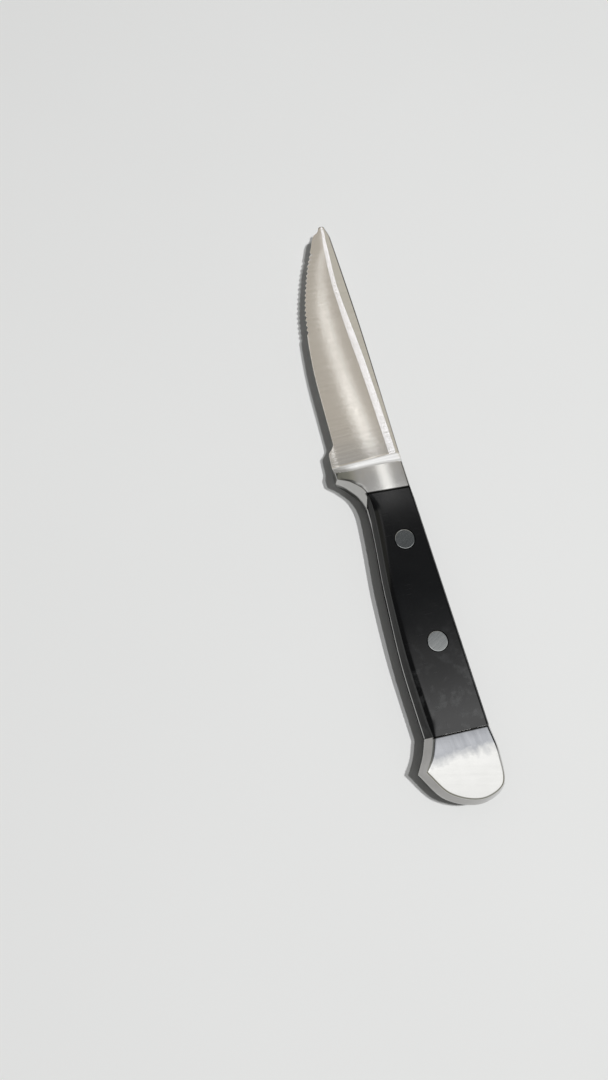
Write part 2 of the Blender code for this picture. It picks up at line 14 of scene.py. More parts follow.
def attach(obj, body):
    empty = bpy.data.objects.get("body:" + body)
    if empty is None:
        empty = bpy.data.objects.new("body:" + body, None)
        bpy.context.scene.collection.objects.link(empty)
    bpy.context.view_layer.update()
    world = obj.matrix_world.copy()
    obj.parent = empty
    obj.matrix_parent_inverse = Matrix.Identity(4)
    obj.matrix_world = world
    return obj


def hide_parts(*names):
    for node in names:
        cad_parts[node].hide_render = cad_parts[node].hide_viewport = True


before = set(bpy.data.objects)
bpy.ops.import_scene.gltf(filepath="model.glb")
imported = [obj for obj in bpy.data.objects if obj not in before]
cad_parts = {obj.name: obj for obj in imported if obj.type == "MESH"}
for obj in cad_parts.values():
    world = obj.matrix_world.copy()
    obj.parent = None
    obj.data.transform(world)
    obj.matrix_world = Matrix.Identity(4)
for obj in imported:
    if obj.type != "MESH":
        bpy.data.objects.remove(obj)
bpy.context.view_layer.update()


# The forging
# Blade, guard, bolster and full tang in one piece of steel. It is drop forged, its blade is then ground with
# the grinding lines running from spine to edge, its belly is serrated and its bolster polished.

PLACE = np.array([0.0046, -0.0024124, 0.00775])  # the knife's own origin, on the ground

# The knife's lengths and thicknesses, and its places along Y
HANDLE_LENGTH = 0.0980
BOLSTER_LENGTH = 0.01145
FILLET_RUN = 0.00545
BLADE_LENGTH = 0.1132
HANDLE_THICKNESS = 0.0155
TANG_THICKNESS = 0.0025

SHOULDER_Y = 0.0
FILLET_TOP_Y = SHOULDER_Y + BOLSTER_LENGTH
FILLET_FOOT_Y = FILLET_TOP_Y + FILLET_RUN
TIP_Y = FILLET_FOOT_Y + BLADE_LENGTH
CAP_FRONT_Y = SHOULDER_Y - HANDLE_LENGTH
HALF_HANDLE = HANDLE_THICKNESS / 2
HALF_TANG = TANG_THICKNESS / 2


def between(start, end, share):
    """start + (end - start) * share, for numbers or arrays."""
    return start + (end - start) * share


def hermite(t, span, first, first_slope, second, second_slope):
    """The cubic between two values a span apart, each with its slope, where t runs from 0 to 1."""
    start = (2 * t**3 - 3 * t**2 + 1) * first + (t**3 - 2 * t**2 + t) * span * first_slope
    end = (3 * t**2 - 2 * t**3) * second + (t**3 - t**2) * span * second_slope
    return start + end


def flowing(points):
    """A curve x(y) through the (y, x) points: a cubic Hermite piece between each two of them.

    The slope at a point is the harmonic mean of the straight rises before and after it, and nothing where
    these have opposite signs, so the curve swings no wider than its points.
    """
    ys, xs = np.array(sorted(points)).T
    rises = np.diff(xs) / np.diff(ys)
    before, after = rises[:-1], rises[1:]
    same_way = before * after > 0
    slopes = np.zeros(len(ys))
    slopes[0], slopes[-1] = rises[0], rises[-1]
    slopes[1:-1][same_way] = 2 / (1 / before[same_way] + 1 / after[same_way])

    def at(y):
        y = np.clip(y, ys[0], ys[-1])
        i = np.clip(np.searchsorted(ys, y) - 1, 0, len(ys) - 2)
        span = ys[i + 1] - ys[i]
        return hermite((y - ys[i]) / span, span, xs[i], slopes[i], xs[i + 1], slopes[i + 1])

    return at


# The blade's outline: the spine, and the edge from the guard's tip over the heel and the belly to the tip
SPINE_OFFSET = 0.0108
SPINE_CROWN = 0.0013
SPINE_CROWN_BACK = 0.046
SPINE_NOSE_OFFSET = 0.0117
SPINE_NOSE_BACK = 0.0066
TIP_RADIUS = 0.0022
TIP_FLAT = 0.0001
TIP_OFFSET = 0.0091
TIP_STEP_BACK = 0.0030
TIP_STEP_OFFSET = 0.0059
TIP_STEP_RUN = 0.0005
TIP_STEP_WIDTH = 0.0011
GUARD_REACH = 0.0184
GUARD_LIP_REACH = 0.0179
HEEL_LIP_SETBACK = 0.0066
HEEL_SETBACK = 0.0103
EDGE_OFFSET = 0.0150
BELLY_OFFSET = 0.0139
BELLY_LENGTH = 0.0724
BELLY_MIDDLE_OFFSET = 0.0104
BELLY_MIDDLE_BACK = 0.0436
BELLY_FRONT_OFFSET = 0.0031
BELLY_FRONT_BACK = 0.0197
BELLY_NOSE_OFFSET = 0.0014
BELLY_NOSE_BACK = 0.0102

LIP_Y = FILLET_FOOT_Y + HEEL_LIP_SETBACK
HEEL_Y = FILLET_FOOT_Y + HEEL_SETBACK

spine_line = flowing([
    (FILLET_FOOT_Y, SPINE_OFFSET),
    (between(FILLET_FOOT_Y, TIP_Y - SPINE_CROWN_BACK, 0.5), SPINE_OFFSET + SPINE_CROWN * 0.6),
    (TIP_Y - SPINE_CROWN_BACK, SPINE_OFFSET + SPINE_CROWN),
    (TIP_Y - SPINE_NOSE_BACK, SPINE_NOSE_OFFSET),
    (TIP_Y, TIP_OFFSET + TIP_RADIUS / 2),
])
edge_line = flowing([
    (FILLET_FOOT_Y, -GUARD_REACH),
    (LIP_Y, -GUARD_LIP_REACH),
    (between(LIP_Y, HEEL_Y, 0.5), -between(GUARD_LIP_REACH, EDGE_OFFSET, 0.6)),
    (HEEL_Y, -EDGE_OFFSET),
    (between(HEEL_Y, TIP_Y - BELLY_LENGTH, 0.5), -between(EDGE_OFFSET, BELLY_OFFSET, 0.5)),
    (TIP_Y - BELLY_LENGTH, -BELLY_OFFSET),
    (TIP_Y - BELLY_MIDDLE_BACK, -BELLY_MIDDLE_OFFSET),
    (TIP_Y - BELLY_FRONT_BACK, -BELLY_FRONT_OFFSET),
    (TIP_Y - BELLY_NOSE_BACK, BELLY_NOSE_OFFSET),
    (TIP_Y - TIP_STEP_BACK - TIP_STEP_RUN, TIP_STEP_OFFSET - TIP_STEP_WIDTH),
    (TIP_Y - TIP_STEP_BACK, TIP_STEP_OFFSET),
    (TIP_Y - TIP_RADIUS, TIP_OFFSET - TIP_RADIUS),
    (TIP_Y, TIP_OFFSET - TIP_RADIUS / 2),
])

# The blade's facets: the bevel along the spine, the unground flat beside it, and the ground face
SWEDGE_WIDTH = 0.0043
SWEDGE_WIDTH_AT_HEEL = 0.0013
SWEDGE_WIDEST_BACK = 0.032
SWEDGE_SLOPE = 0.11
FLAT_AT_HEEL = 0.0031
FLAT_AHEAD = 0.0022
FLAT_AT_TIP = 0.0010
FLAT_FALL = 0.0132  # fall of the flat towards the edge, for each unit of its width
BLADE_THICKNESS = 0.0024
TIP_THICKNESS = 0.0011
EDGE_THICKNESS = 0.0003
SPINE_CORNER = 0.0003
GRIND_CROWN = 0.18
GRIND_SLOPE = 0.072
GRIND_SOFTNESS = 0.0016  # square of the share of the rise that starts softly

swedge_width = flowing([
    (FILLET_FOOT_Y, SWEDGE_WIDTH_AT_HEEL),
    (between(FILLET_FOOT_Y, TIP_Y - SWEDGE_WIDEST_BACK, 0.5),
     between(SWEDGE_WIDTH_AT_HEEL, SWEDGE_WIDTH, 0.4)),
    (TIP_Y - SWEDGE_WIDEST_BACK, SWEDGE_WIDTH),
    (TIP_Y - 0.0230, 0.0038),
    (TIP_Y - 0.0130, 0.0029),
    (TIP_Y - 0.0070, 0.0024),
    (TIP_Y - 0.0017, 0.0010),
    (TIP_Y, 0.0008),
])
flat_width = flowing([
    (FILLET_FOOT_Y, FLAT_AT_HEEL),
    (TIP_Y - 0.058, FLAT_AT_HEEL),
    (TIP_Y - 0.034, FLAT_AHEAD),
    (TIP_Y - 0.013, 0.0019),
    (TIP_Y - 0.007, 0.0014),
    (TIP_Y, FLAT_AT_TIP),
])

# The serrations along the belly
TOOTH_COUNT = 17
TOOTH_PITCH = 0.00245
TOOTH_DEPTH = 0.00075
TEETH_BACK = 0.0115
TOOTH_GRIND = 0.0013  # how far each notch is ground into the face
TOOTH_HOLLOW = 0.00009

# Places across one face of the forging, from the edge to the spine, crowded where two facets meet
GRIND_SHARES = np.concatenate([[0, 0.004, 0.012, 0.03], np.linspace(0.08, 0.94, 12), [0.985, 0.996]])
FLAT_SHARES = np.array([0, 0.03, 0.08, 0.3, 0.7, 0.92, 0.97])
SWEDGE_SHARES = np.array([0, 0.03, 0.08, 0.3, 0.7, 0.92, 0.97])
SPINE_ROUND = 6
FACE_POINTS = len(GRIND_SHARES) + len(FLAT_SHARES) + len(SWEDGE_SHARES) + SPINE_ROUND


def notch(y):
    """How deep the serrations are at y: 0 at the point of each tooth, rising evenly to 1 halfway to the next.

    The place along the edge is the running length of edge_line, counted in pitches back from the first tooth.
    """
    ys = np.linspace(TIP_Y - BELLY_LENGTH - TOOTH_COUNT * TOOTH_PITCH, TIP_Y - TEETH_BACK, 900)
    length = np.concatenate([[0.0], np.cumsum(np.hypot(np.diff(edge_line(ys)), np.diff(ys)))])
    pitches = (length[-1] - np.interp(y, ys, length)) / TOOTH_PITCH
    inside = (y < ys[-1]) & (pitches < TOOTH_COUNT)
    return np.where(inside, 1 - np.abs(2 * (pitches % 1) - 1), 0.0)


def blade_section(y):
    """The blade's face as x and z over stations y and FACE_POINTS places from edge to spine.

    The ground face rises from the edge as s + crown * s * (1 - s), where s starts softly as
    (s + sqrt(s^2 + softness)) / 2 and is counted from the heel's edge line next to the guard. Near the tip
    the edge grows thicker, so that the face never rises more steeply than GRIND_SLOPE. The flat keeps a
    slight even fall, and the spine's bevel falls evenly to a spine with rounded corners. Near the edge, each
    notch takes away a hollow that fades inwards as a square. A circle of TIP_RADIUS limits the outline.
    """
    y = y[:, None]
    back = TIP_Y - y
    near_tip = np.sqrt(np.clip(TIP_RADIUS**2 - (TIP_RADIUS - back)**2, 0, None)) + TIP_FLAT
    rounded = back < TIP_RADIUS
    edge = np.where(rounded, np.maximum(edge_line(y), TIP_OFFSET - near_tip), edge_line(y))
    spine = np.where(rounded, np.minimum(spine_line(y), TIP_OFFSET + near_tip), spine_line(y))
    width = spine - edge
    swedge = np.where(rounded, np.minimum(swedge_width(y), width * 0.28), swedge_width(y))
    flat = np.where(rounded, np.minimum(flat_width(y), width * 0.3), flat_width(y))
    half = between(TIP_THICKNESS, BLADE_THICKNESS, np.clip(back / BLADE_LENGTH, 0, 1)) / 2
    cut = notch(y) * TOOTH_DEPTH
    ridge = spine - swedge
    grind_end = ridge - flat
    grind_half = half - flat * FLAT_FALL
    edge_half = np.maximum(EDGE_THICKNESS / 2, grind_half - GRIND_SLOPE * (grind_end - edge))

    share = GRIND_SHARES[None, :]
    grind_x = edge + cut * (1 - share)**6 + share * (grind_end - edge)
    root = np.maximum(edge, -EDGE_OFFSET)
    risen = (edge + share * (grind_end - edge) - root) / (grind_end - root)
    risen = (risen + np.sqrt(risen**2 + GRIND_SOFTNESS)) / 2
    grind_z = between(edge_half, grind_half, risen * (1 + GRIND_CROWN * (1 - risen)))
    inwards = np.clip(1 - (grind_x - edge) / TOOTH_GRIND, 0, 1)
    grind_z = grind_z - notch(y) * TOOTH_HOLLOW * inwards**2
    flat_x = grind_end + FLAT_SHARES * flat
    flat_z = between(grind_half, half, FLAT_SHARES)
    corner = np.minimum(SPINE_CORNER, swedge * 0.3)
    fall = SWEDGE_SLOPE * swedge
    swedge_x = ridge + SWEDGE_SHARES * (swedge - corner)
    swedge_z = half - SWEDGE_SHARES * (fall - corner * SWEDGE_SLOPE)
    turn = np.linspace(0, np.pi / 2, SPINE_ROUND)[None, :]
    round_x = spine - corner * (1 - np.sin(turn))
    round_z = half - fall - corner * 0.8 * (1 - np.cos(turn))
    return (np.concatenate([grind_x, flat_x, swedge_x, round_x], axis=1),
            np.concatenate([grind_z, flat_z, swedge_z, round_z], axis=1))


# The handle's outline on the finger side, from the guard's tip over throat, neck, grip and palm to the cap,
# and how far the wall leans in from there to the handle's face
GUARD_SETBACK = 0.0091
GUARD_CURVE_REACH = 0.0152
GUARD_CURVE_SETBACK = 0.0067
GUARD_CURVE_FLARE = 0.0012
GUARD_THROAT_REACH = 0.0112
GUARD_THROAT_SETBACK = 0.0014
GUARD_FLARE = 0.0017
NECK_REACH = 0.0097
NECK_SETBACK = 0.0045
NECK_FLARE = 0.0013
GRIP_REACH = 0.0131
GRIP_SETBACK = 0.0420
PALM_REACH = 0.0151
PALM_SETBACK = 0.0760
TAIL_REACH = 0.0149
SIDE_FLARE = 0.0010
SIDE_FLARE_AT_PALM = 0.0019
SIDE_FLARE_AT_CAP = 0.0022
BACK_FLARE = 0.0021

finger_line = flowing([
    (SHOULDER_Y + GUARD_SETBACK, -GUARD_REACH),
    (SHOULDER_Y + GUARD_CURVE_SETBACK, -GUARD_CURVE_REACH),
    (SHOULDER_Y + GUARD_THROAT_SETBACK, -GUARD_THROAT_REACH),
    (SHOULDER_Y - NECK_SETBACK, -NECK_REACH),
    (SHOULDER_Y - GRIP_SETBACK, -GRIP_REACH),
    (SHOULDER_Y - PALM_SETBACK, -PALM_REACH),
    (CAP_FRONT_Y, -TAIL_REACH),
])
finger_flare = flowing([
    (SHOULDER_Y + GUARD_SETBACK, 0.0),
    (SHOULDER_Y + GUARD_CURVE_SETBACK, GUARD_CURVE_FLARE),
    (SHOULDER_Y + GUARD_THROAT_SETBACK, GUARD_FLARE),
    (SHOULDER_Y - NECK_SETBACK, NECK_FLARE),
    (SHOULDER_Y - GRIP_SETBACK, SIDE_FLARE),
    (SHOULDER_Y - PALM_SETBACK, SIDE_FLARE_AT_PALM),
    (CAP_FRONT_Y, SIDE_FLARE_AT_CAP),
])

CORNER_POINTS = 8


def rounded_walls(left_foot, left_top, right_top, right_foot, rounding, height):
    """A section as x and z: a wall up from the left foot, the face, and a wall down to the right foot.

    Each argument pair is (x, z) over stations, and rounding is the left corner's and the right one's. A
    corner is the quadratic arc with weights (1 - t)^2, 2t(1 - t) and t^2 on its start, its corner and its
    end, and the face between takes its z from height(x).
    """
    t = np.linspace(0, 1, CORNER_POINTS)[None, :]

    def arc(foot, top, inner, rounding):
        foot, top, inner = (np.stack([x + 0 * top[0], z + 0 * top[0]], axis=-1)
                            for x, z in (foot, top, inner))
        down = (foot - top) / np.linalg.norm(foot - top, axis=-1, keepdims=True)
        across = (inner - top) / np.linalg.norm(inner - top, axis=-1, keepdims=True)
        reach = rounding[..., None]
        start, end = top + down * reach, top + across * reach
        w = t[..., None]
        return (1 - w)**2 * start + 2 * w * (1 - w) * top + w**2 * end

    step = (right_top[0] - left_top[0]) * 0.1
    left_inner = (left_top[0] + step, height(left_top[0] + step))
    right_inner = (right_top[0] - step, height(right_top[0] - step))
    left = arc(left_foot, left_top, left_inner, rounding[0])
    right = arc(right_foot, right_top, right_inner, rounding[1])[:, ::-1]
    inner_count = FACE_POINTS - 2 * CORNER_POINTS - 2
    share = np.linspace(0, 1, inner_count + 2)[None, 1:-1]
    x = between(left[:, -1:, 0], right[:, :1, 0], share)
    feet = [np.concatenate(np.broadcast_arrays(foot[0] + 0 * left_top[0], foot[1] + 0 * left_top[0]), axis=1)
            for foot in (left_foot, right_foot)]
    return (np.concatenate([feet[0][:, :1], left[..., 0], x, right[..., 0], feet[1][:, :1]], axis=1),
            np.concatenate([feet[0][:, 1:], left[..., 1], height(x), right[..., 1], feet[1][:, 1:]], axis=1))


# The bolster and guard: a full-thickness block with a shoulder that leans back towards the tang, and a hollow
# fillet in front that comes up from the blade's face in a quarter turn
GUARD_ROOT = 0.0090
GUARD_TIP_THICKNESS = 0.0072
SHOULDER_LEAN = 0.0042
LEAN_LENGTH = 0.0200
BOLSTER_ROUNDING = 0.0004
SPINE_SIDE_ROUNDING = 1.6  # the spine side's rounding, for each unit of the finger side's
FILLET_START = 0.45  # angle at which the hollow fillet leaves the blade, in radians
FILLET_OVERRUN = 0.0008  # how far the hollow fillet is polished out over the blade
FILLET_SETTLES = 0.12  # rise by which the blade's section has become the bolster's


def shoulder_lean(y):
    """How much further back the section at y is at the tang's face than at the handle's."""
    return np.interp(y, [SHOULDER_Y - LEAN_LENGTH, SHOULDER_Y, SHOULDER_Y + GUARD_CURVE_SETBACK],
                     [0.0, SHOULDER_LEAN, 0.0])


def bolster_section(y, rise):
    """The bolster's face as x and z, where rise is how far the hollow fillet has come up, from 0 to 1.

    The full thickness falls towards the guard's tip as the square of the way out. The fillet's face is the
    blade's face raised by that share of the way to the full thickness, and its walls lean in from the waist.
    At its foot the section passes from the blade's to the bolster's as 3 s^2 - 2 s^3.
    """
    blade_x, blade_z = blade_section(np.array([FILLET_FOOT_Y]))
    y, rise = y[:, None], rise[:, None]
    finger = finger_line(y - shoulder_lean(y))
    left = finger_line(y) + finger_flare(y) * rise
    right = SPINE_OFFSET - BACK_FLARE * rise

    def height(x):
        out = np.clip((-GUARD_ROOT - x) / (GUARD_REACH - GUARD_ROOT), 0.0, 1.0)
        full = HALF_HANDLE - (HANDLE_THICKNESS - GUARD_TIP_THICKNESS) / 2 * out**2
        return np.minimum(full, between(np.interp(x, blade_x[0], blade_z[0]), HALF_HANDLE, rise))

    left_foot = (finger, between(blade_z[0, 0], HALF_TANG, rise))
    right_foot = (SPINE_OFFSET + 0 * finger, between(blade_z[0, -1], HALF_TANG, rise))
    rounding = BOLSTER_ROUNDING * rise + 1e-6
    x, z = rounded_walls(left_foot, (left, height(left)), (right, height(right)), right_foot,
                         (rounding, rounding * SPINE_SIDE_ROUNDING), height)
    settled = np.clip(rise / FILLET_SETTLES, 0, 1)
    settled = settled**2 * (3 - 2 * settled)
    return between(blade_x, x, settled), between(blade_z, z, settled)


# The tang: a flat slab the width of the handle, with dressed edges, and a narrower tongue that enters the cap
TANG_INSET = 0.00005
TANG_BEVEL = 0.0003  # how far in the dressed edge of the tang leans, on each side of its middle
TONGUE_LENGTH = 0.0140
TONGUE_WIDTH = 0.0120
TONGUE_OFFSET = -0.0020
FIT_GAP = 0.0003
SLEEVE_DIAMETER = 0.0050
RIVET_SETBACK = 0.02115
RIVET_SPACING = 0.04227
RIVET_YS = {"front": SHOULDER_Y - RIVET_SETBACK, "rear": SHOULDER_Y - RIVET_SETBACK - RIVET_SPACING}


def tang_section(left, right):
    """A flat section as x and z: its edges lean in from the middle, with evenly spaced places between."""
    share = np.linspace(0, 1, FACE_POINTS - 2)[None, :]
    face = between(left[:, None] + TANG_BEVEL, right[:, None] - TANG_BEVEL, share)
    x = np.concatenate([left[:, None], face, right[:, None]], axis=1)
    z = np.full_like(x, HALF_TANG)
    z[:, [0, -1]] = 0.00001
    return x, z


# How the sections are set along the knife: the shoulder, the fillet and the cap's joint run askew
CAP_SKEW = -0.055
SHOULDER_SKEW = -0.077
FILLET_SKEW = -0.055
FILLET_BOW = 3.5
FILLET_CURL = 24.0


def set_along(y, x, z):
    """The points (x, y, z) of sections at y: each moves along Y by skew * x, the front's shape and its lean.

    The front's shape is curl * (x + root)^2 beyond the guard's root, less bow * x^2. Skew and front change
    evenly between the cap's joint, the shoulder, the fillet's top and its foot.
    """
    joints = [CAP_FRONT_Y, SHOULDER_Y, FILLET_TOP_Y, FILLET_FOOT_Y]
    skew = np.interp(y, joints, [CAP_SKEW, SHOULDER_SKEW, FILLET_SKEW, 0.0])[:, None]
    front_share = np.interp(y, joints[1:], [0.0, 1.0, 0.0])[:, None]
    front = FILLET_CURL * np.minimum(x + GUARD_ROOT, 0.0)**2 - FILLET_BOW * x**2
    down = (HALF_HANDLE - z) / (HALF_HANDLE - HALF_TANG)
    along = y[:, None] + skew * x + front_share * front - shoulder_lean(y)[:, None] * down
    return np.stack([x, along, z], axis=-1)


def both_faces(y, section):
    """Rings along y from an upper face given as x and z, each mirrored below the blade's plane."""
    upper = set_along(y, *section)
    return np.concatenate([upper, upper[:, ::-1] * [1, 1, -1]], axis=1)


def skin(name, rings):
    """A closed body from rings shaped (rings, points, 3), each joined to the next, with a fan over each end.

    Point j of ring i makes a four-sided face with point j + 1 and the same two of ring i + 1, and each fan
    runs to the mean of its ring.
    """
    n, m, _ = rings.shape
    here = np.arange(n * m).reshape(n, m)
    beside = np.roll(here, -1, axis=1)
    walls = np.stack([here[:-1], beside[:-1], beside[1:], here[1:]], axis=-1).reshape(-1, 4)
    first = np.stack([beside[0], here[0], np.full(m, n * m)], axis=-1)
    last = np.stack([here[-1], beside[-1], np.full(m, n * m + 1)], axis=-1)
    middles = [rings[0].mean(axis=0), rings[-1].mean(axis=0)]
    points = np.concatenate([rings.reshape(-1, 3), middles]) + PLACE
    mesh = bpy.data.meshes.new(name)
    mesh.from_pydata(points.tolist(), [], walls.tolist() + first.tolist() + last.tolist())
    piece = bpy.data.objects.new(name, mesh)
    bpy.context.scene.collection.objects.link(piece)
    return piece


def turned(name, profile, y, segments=96):
    """A body turned about the line x = 0 at that y: each (radius, z) of the profile is a circle of points."""
    radius, z = np.array(profile).T[:, :, None]
    angle = np.arange(segments)[None, :] * math.tau / segments
    rings = np.stack([radius * np.cos(angle), y + radius * np.sin(angle), z + 0 * angle], axis=-1)
    return skin(name, rings)


def cut_out(piece, cutter):
    """Takes the cutter's space out of the piece, keeps the result as its mesh and clears the cutter away."""
    taken = piece.modifiers.new("cut", "BOOLEAN")
    taken.operation = "DIFFERENCE"
    taken.solver = "EXACT"
    taken.object = cutter
    graph = bpy.context.evaluated_depsgraph_get()
    finished = bpy.data.meshes.new_from_object(piece.evaluated_get(graph), depsgraph=graph)
    piece.modifiers.clear()
    piece.data = finished
    bpy.data.objects.remove(cutter, do_unlink=True)


def smooth(piece, degrees=28):
    """Shades the piece smooth, and sharp where two faces meet at more than that angle."""
    piece.data.shade_smooth()
    piece.data.set_sharp_from_angle(angle=math.radians(degrees))


# Stations of the tongue, the tang, the bolster, its fillet and the blade, in that order along Y
tang_end = CAP_FRONT_Y + FIT_GAP
tongue_y = np.array([CAP_FRONT_Y - TONGUE_LENGTH, tang_end])
tongue_left = np.full(2, TONGUE_OFFSET - TONGUE_WIDTH / 2)
tang_y = np.linspace(tang_end, SHOULDER_Y, 50)
tang_left = finger_line(tang_y - shoulder_lean(tang_y)) + TANG_INSET
tang_right = np.full_like(tang_y, SPINE_OFFSET - TANG_INSET)
bolster_y = np.append(np.linspace(SHOULDER_Y, SHOULDER_Y + GUARD_SETBACK, 40), FILLET_TOP_Y)
fillet_angle = np.linspace(math.pi / 2, FILLET_START, 30)[1:-1]
fillet_share = (np.sin(fillet_angle) - np.sin(FILLET_START)) / (1 - np.sin(FILLET_START))
fillet_rise = 1 - np.cos(fillet_angle) / np.cos(FILLET_START)
blade_start = FILLET_FOOT_Y + FILLET_OVERRUN
fillet_y = between(blade_start, FILLET_TOP_Y, fillet_share)
heel_end = HEEL_Y + 0.002
teeth_start = TIP_Y - BELLY_LENGTH - 0.002
blade_y = np.concatenate([
    np.linspace(blade_start, heel_end, 50),
    np.linspace(heel_end, teeth_start, 24)[1:],
    np.linspace(teeth_start, TIP_Y - TEETH_BACK, 300)[1:],
    np.linspace(TIP_Y - TEETH_BACK, TIP_Y - TIP_RADIUS, 24)[1:],
    TIP_Y - TIP_RADIUS * (1 - np.sin(np.linspace(0, math.pi / 2, 16)[1:])),
])
forging = skin("forged_blade_and_tang", np.concatenate([
    both_faces(tongue_y, tang_section(tongue_left, tongue_left + TONGUE_WIDTH)),
    both_faces(tang_y, tang_section(tang_left, tang_right)),
    both_faces(bolster_y, bolster_section(bolster_y, np.ones_like(bolster_y))),
    both_faces(fillet_y, bolster_section(fillet_y, fillet_rise)),
    both_faces(blade_y, blade_section(blade_y)),
]))
for place, y in RIVET_YS.items():
    shank = SLEEVE_DIAMETER / 2 + FIT_GAP
    cut_out(forging, turned(place + "_tang_hole", [(shank, -TANG_THICKNESS), (shank, TANG_THICKNESS)], y))
smooth(forging)


def node(tree, kind, inputs=None, **settings):
    """A shader node of that kind. Inputs are values, or outputs of other nodes, by socket name or number."""
    made = tree.nodes.new(kind)
    for name, value in settings.items():
        setattr(made, name, value)
    for name, value in (inputs or {}).items():
        if isinstance(value, bpy.types.NodeSocket):
            tree.links.new(value, made.inputs[name])
        else:
            made.inputs[name].default_value = value
    return made


def ramp(tree, value, *stops):
    """The colour output of a ramp over value, with stops of (place, grey or colour)."""
    made = node(tree, "ShaderNodeValToRGB", {"Fac": value})
    made.color_ramp.elements.remove(made.color_ramp.elements[1])
    for i, (place, shade) in enumerate(stops):
        stop = made.color_ramp.elements[0] if i == 0 else made.color_ramp.elements.new(place)
        stop.position = place
        stop.color = (*shade, 1) if isinstance(shade, tuple) else (shade, shade, shade, 1)
    return made.outputs["Color"]


def rising(tree, value, start, end, low=0.0, high=1.0):
    """low where value is start, high where it is end, evenly in between, and level past both."""
    return node(tree, "ShaderNodeMapRange", {
        "Value": value, "From Min": start, "From Max": end, "To Min": low, "To Max": high}).outputs[0]


def product(tree, first, second):
    """first times second."""
    return node(tree, "ShaderNodeMath", {0: first, 1: second}, operation="MULTIPLY").outputs[0]


def size_of(tree, value):
    """The value without its sign."""
    return node(tree, "ShaderNodeMath", {0: value}, operation="ABSOLUTE").outputs[0]


def sum_of(tree, *parts):
    """The running sum of the parts, each a value or an output times a share: (part, share)."""
    total = 0.0
    for part, share in parts:
        total = node(tree, "ShaderNodeMath", {0: part, 1: share, 2: total}, operation="MULTIPLY_ADD")
        total = total.outputs[0]
    return total


def axes(tree, vector):
    """The x, y and z of a vector."""
    return node(tree, "ShaderNodeSeparateXYZ", {0: vector}).outputs


def noise(tree, vector, scale, detail, roughness=0.5):
    """The value of a noise over vector."""
    return node(tree, "ShaderNodeTexNoise", {
        "Vector": vector, "Scale": scale, "Detail": detail, "Roughness": roughness}).outputs[0]


def rotated(tree, vector, angle, scale=(1.0, 1.0, 1.0)):
    """The vector scaled and then turned about Z."""
    return node(tree, "ShaderNodeMapping", {
        "Vector": vector, "Rotation": (0, 0, angle), "Scale": scale}).outputs[0]


def mixed(tree, share, first, second):
    """The colour from first to second by share."""
    return node(tree, "ShaderNodeMix", {0: share, 6: first, 7: second}, data_type="RGBA").outputs[2]


def new_group(name, inputs, outputs):
    """A shader node group. By name, an input is a kind of socket or a number, and an output is a kind."""
    tree = bpy.data.node_groups.new(name, "ShaderNodeTree")
    for label, value in inputs.items():
        kind = value if isinstance(value, str) else "Float"
        socket = tree.interface.new_socket(label, in_out="INPUT", socket_type="NodeSocket" + kind)
        if kind == "Float":
            socket.default_value = value
    for label, kind in outputs.items():
        tree.interface.new_socket(label, in_out="OUTPUT", socket_type="NodeSocket" + kind)
    return tree, node(tree, "NodeGroupInput").outputs, node(tree, "NodeGroupOutput").inputs


def placed(tree, group, inputs):
    """The outputs of the group placed in this material with its own values."""
    return node(tree, "ShaderNodeGroup", inputs, node_tree=group).outputs


# Grinding lines: noise drawn out along the vector's X, in a fine and a coarse layer
grinding_lines, given, result = new_group(
    "grinding_lines", {"Vector": "Vector", "Lines": 5000.0, "Drawn Out": 0.02},
    {"Height": "Float", "Shade": "Float"})
x, y, z = axes(grinding_lines, given["Vector"])
laid = node(grinding_lines, "ShaderNodeCombineXYZ", {
    0: product(grinding_lines, x, given["Drawn Out"]), 1: y, 2: z}).outputs[0]
fine = noise(grinding_lines, laid, given["Lines"], 2.0)
coarse = noise(grinding_lines, laid, product(grinding_lines, given["Lines"], 0.17), 3.0)
grinding_lines.links.new(sum_of(grinding_lines, (fine, 0.95), (coarse, 0.05)), result["Height"])
grinding_lines.links.new(coarse, result["Shade"])

# Handling marks: soft smudges, and hairline scratches in two directions where a stretched noise peaks
handling_marks, given, result = new_group(
    "handling_marks", {"Vector": "Vector", "Smudge Size": 90.0, "Scratch Share": 0.5},
    {"Smudge": "Float", "Scratch": "Float"})
smudge = noise(handling_marks, given["Vector"], given["Smudge Size"], 4.0, roughness=0.6)
handling_marks.links.new(smudge, result["Smudge"])
scratches = []
for angle in (0.6, -1.1):
    stretched = rotated(handling_marks, given["Vector"], angle, scale=(120.0, 7000.0, 900.0))
    hair = noise(handling_marks, stretched, 1.0, 1.0)
    scratches.append((rising(handling_marks, hair, 0.72, 0.80), given["Scratch Share"]))
handling_marks.links.new(sum_of(handling_marks, *scratches), result["Scratch"])

# Leaning faces: Side rises from 0 to 1 as the normal's part along Z falls from Level to Upright, and Beneath
# is 1 where a face looks down and outwards
leaning_faces, given, result = new_group(
    "leaning_faces", {"Normal": "Vector", "Level": 0.7, "Upright": 0.35},
    {"Side": "Float", "Beneath": "Float"})
upward = axes(leaning_faces, given["Normal"])[2]
side = rising(leaning_faces, size_of(leaning_faces, upward), given["Level"], given["Upright"])
leaning_faces.links.new(side, result["Side"])
beneath = ramp(leaning_faces, product(leaning_faces, upward, -1.0),
               (0.0, 0.0), (0.12, 1.0), (0.60, 1.0), (0.85, 0.0))
leaning_faces.links.new(beneath, result["Beneath"])

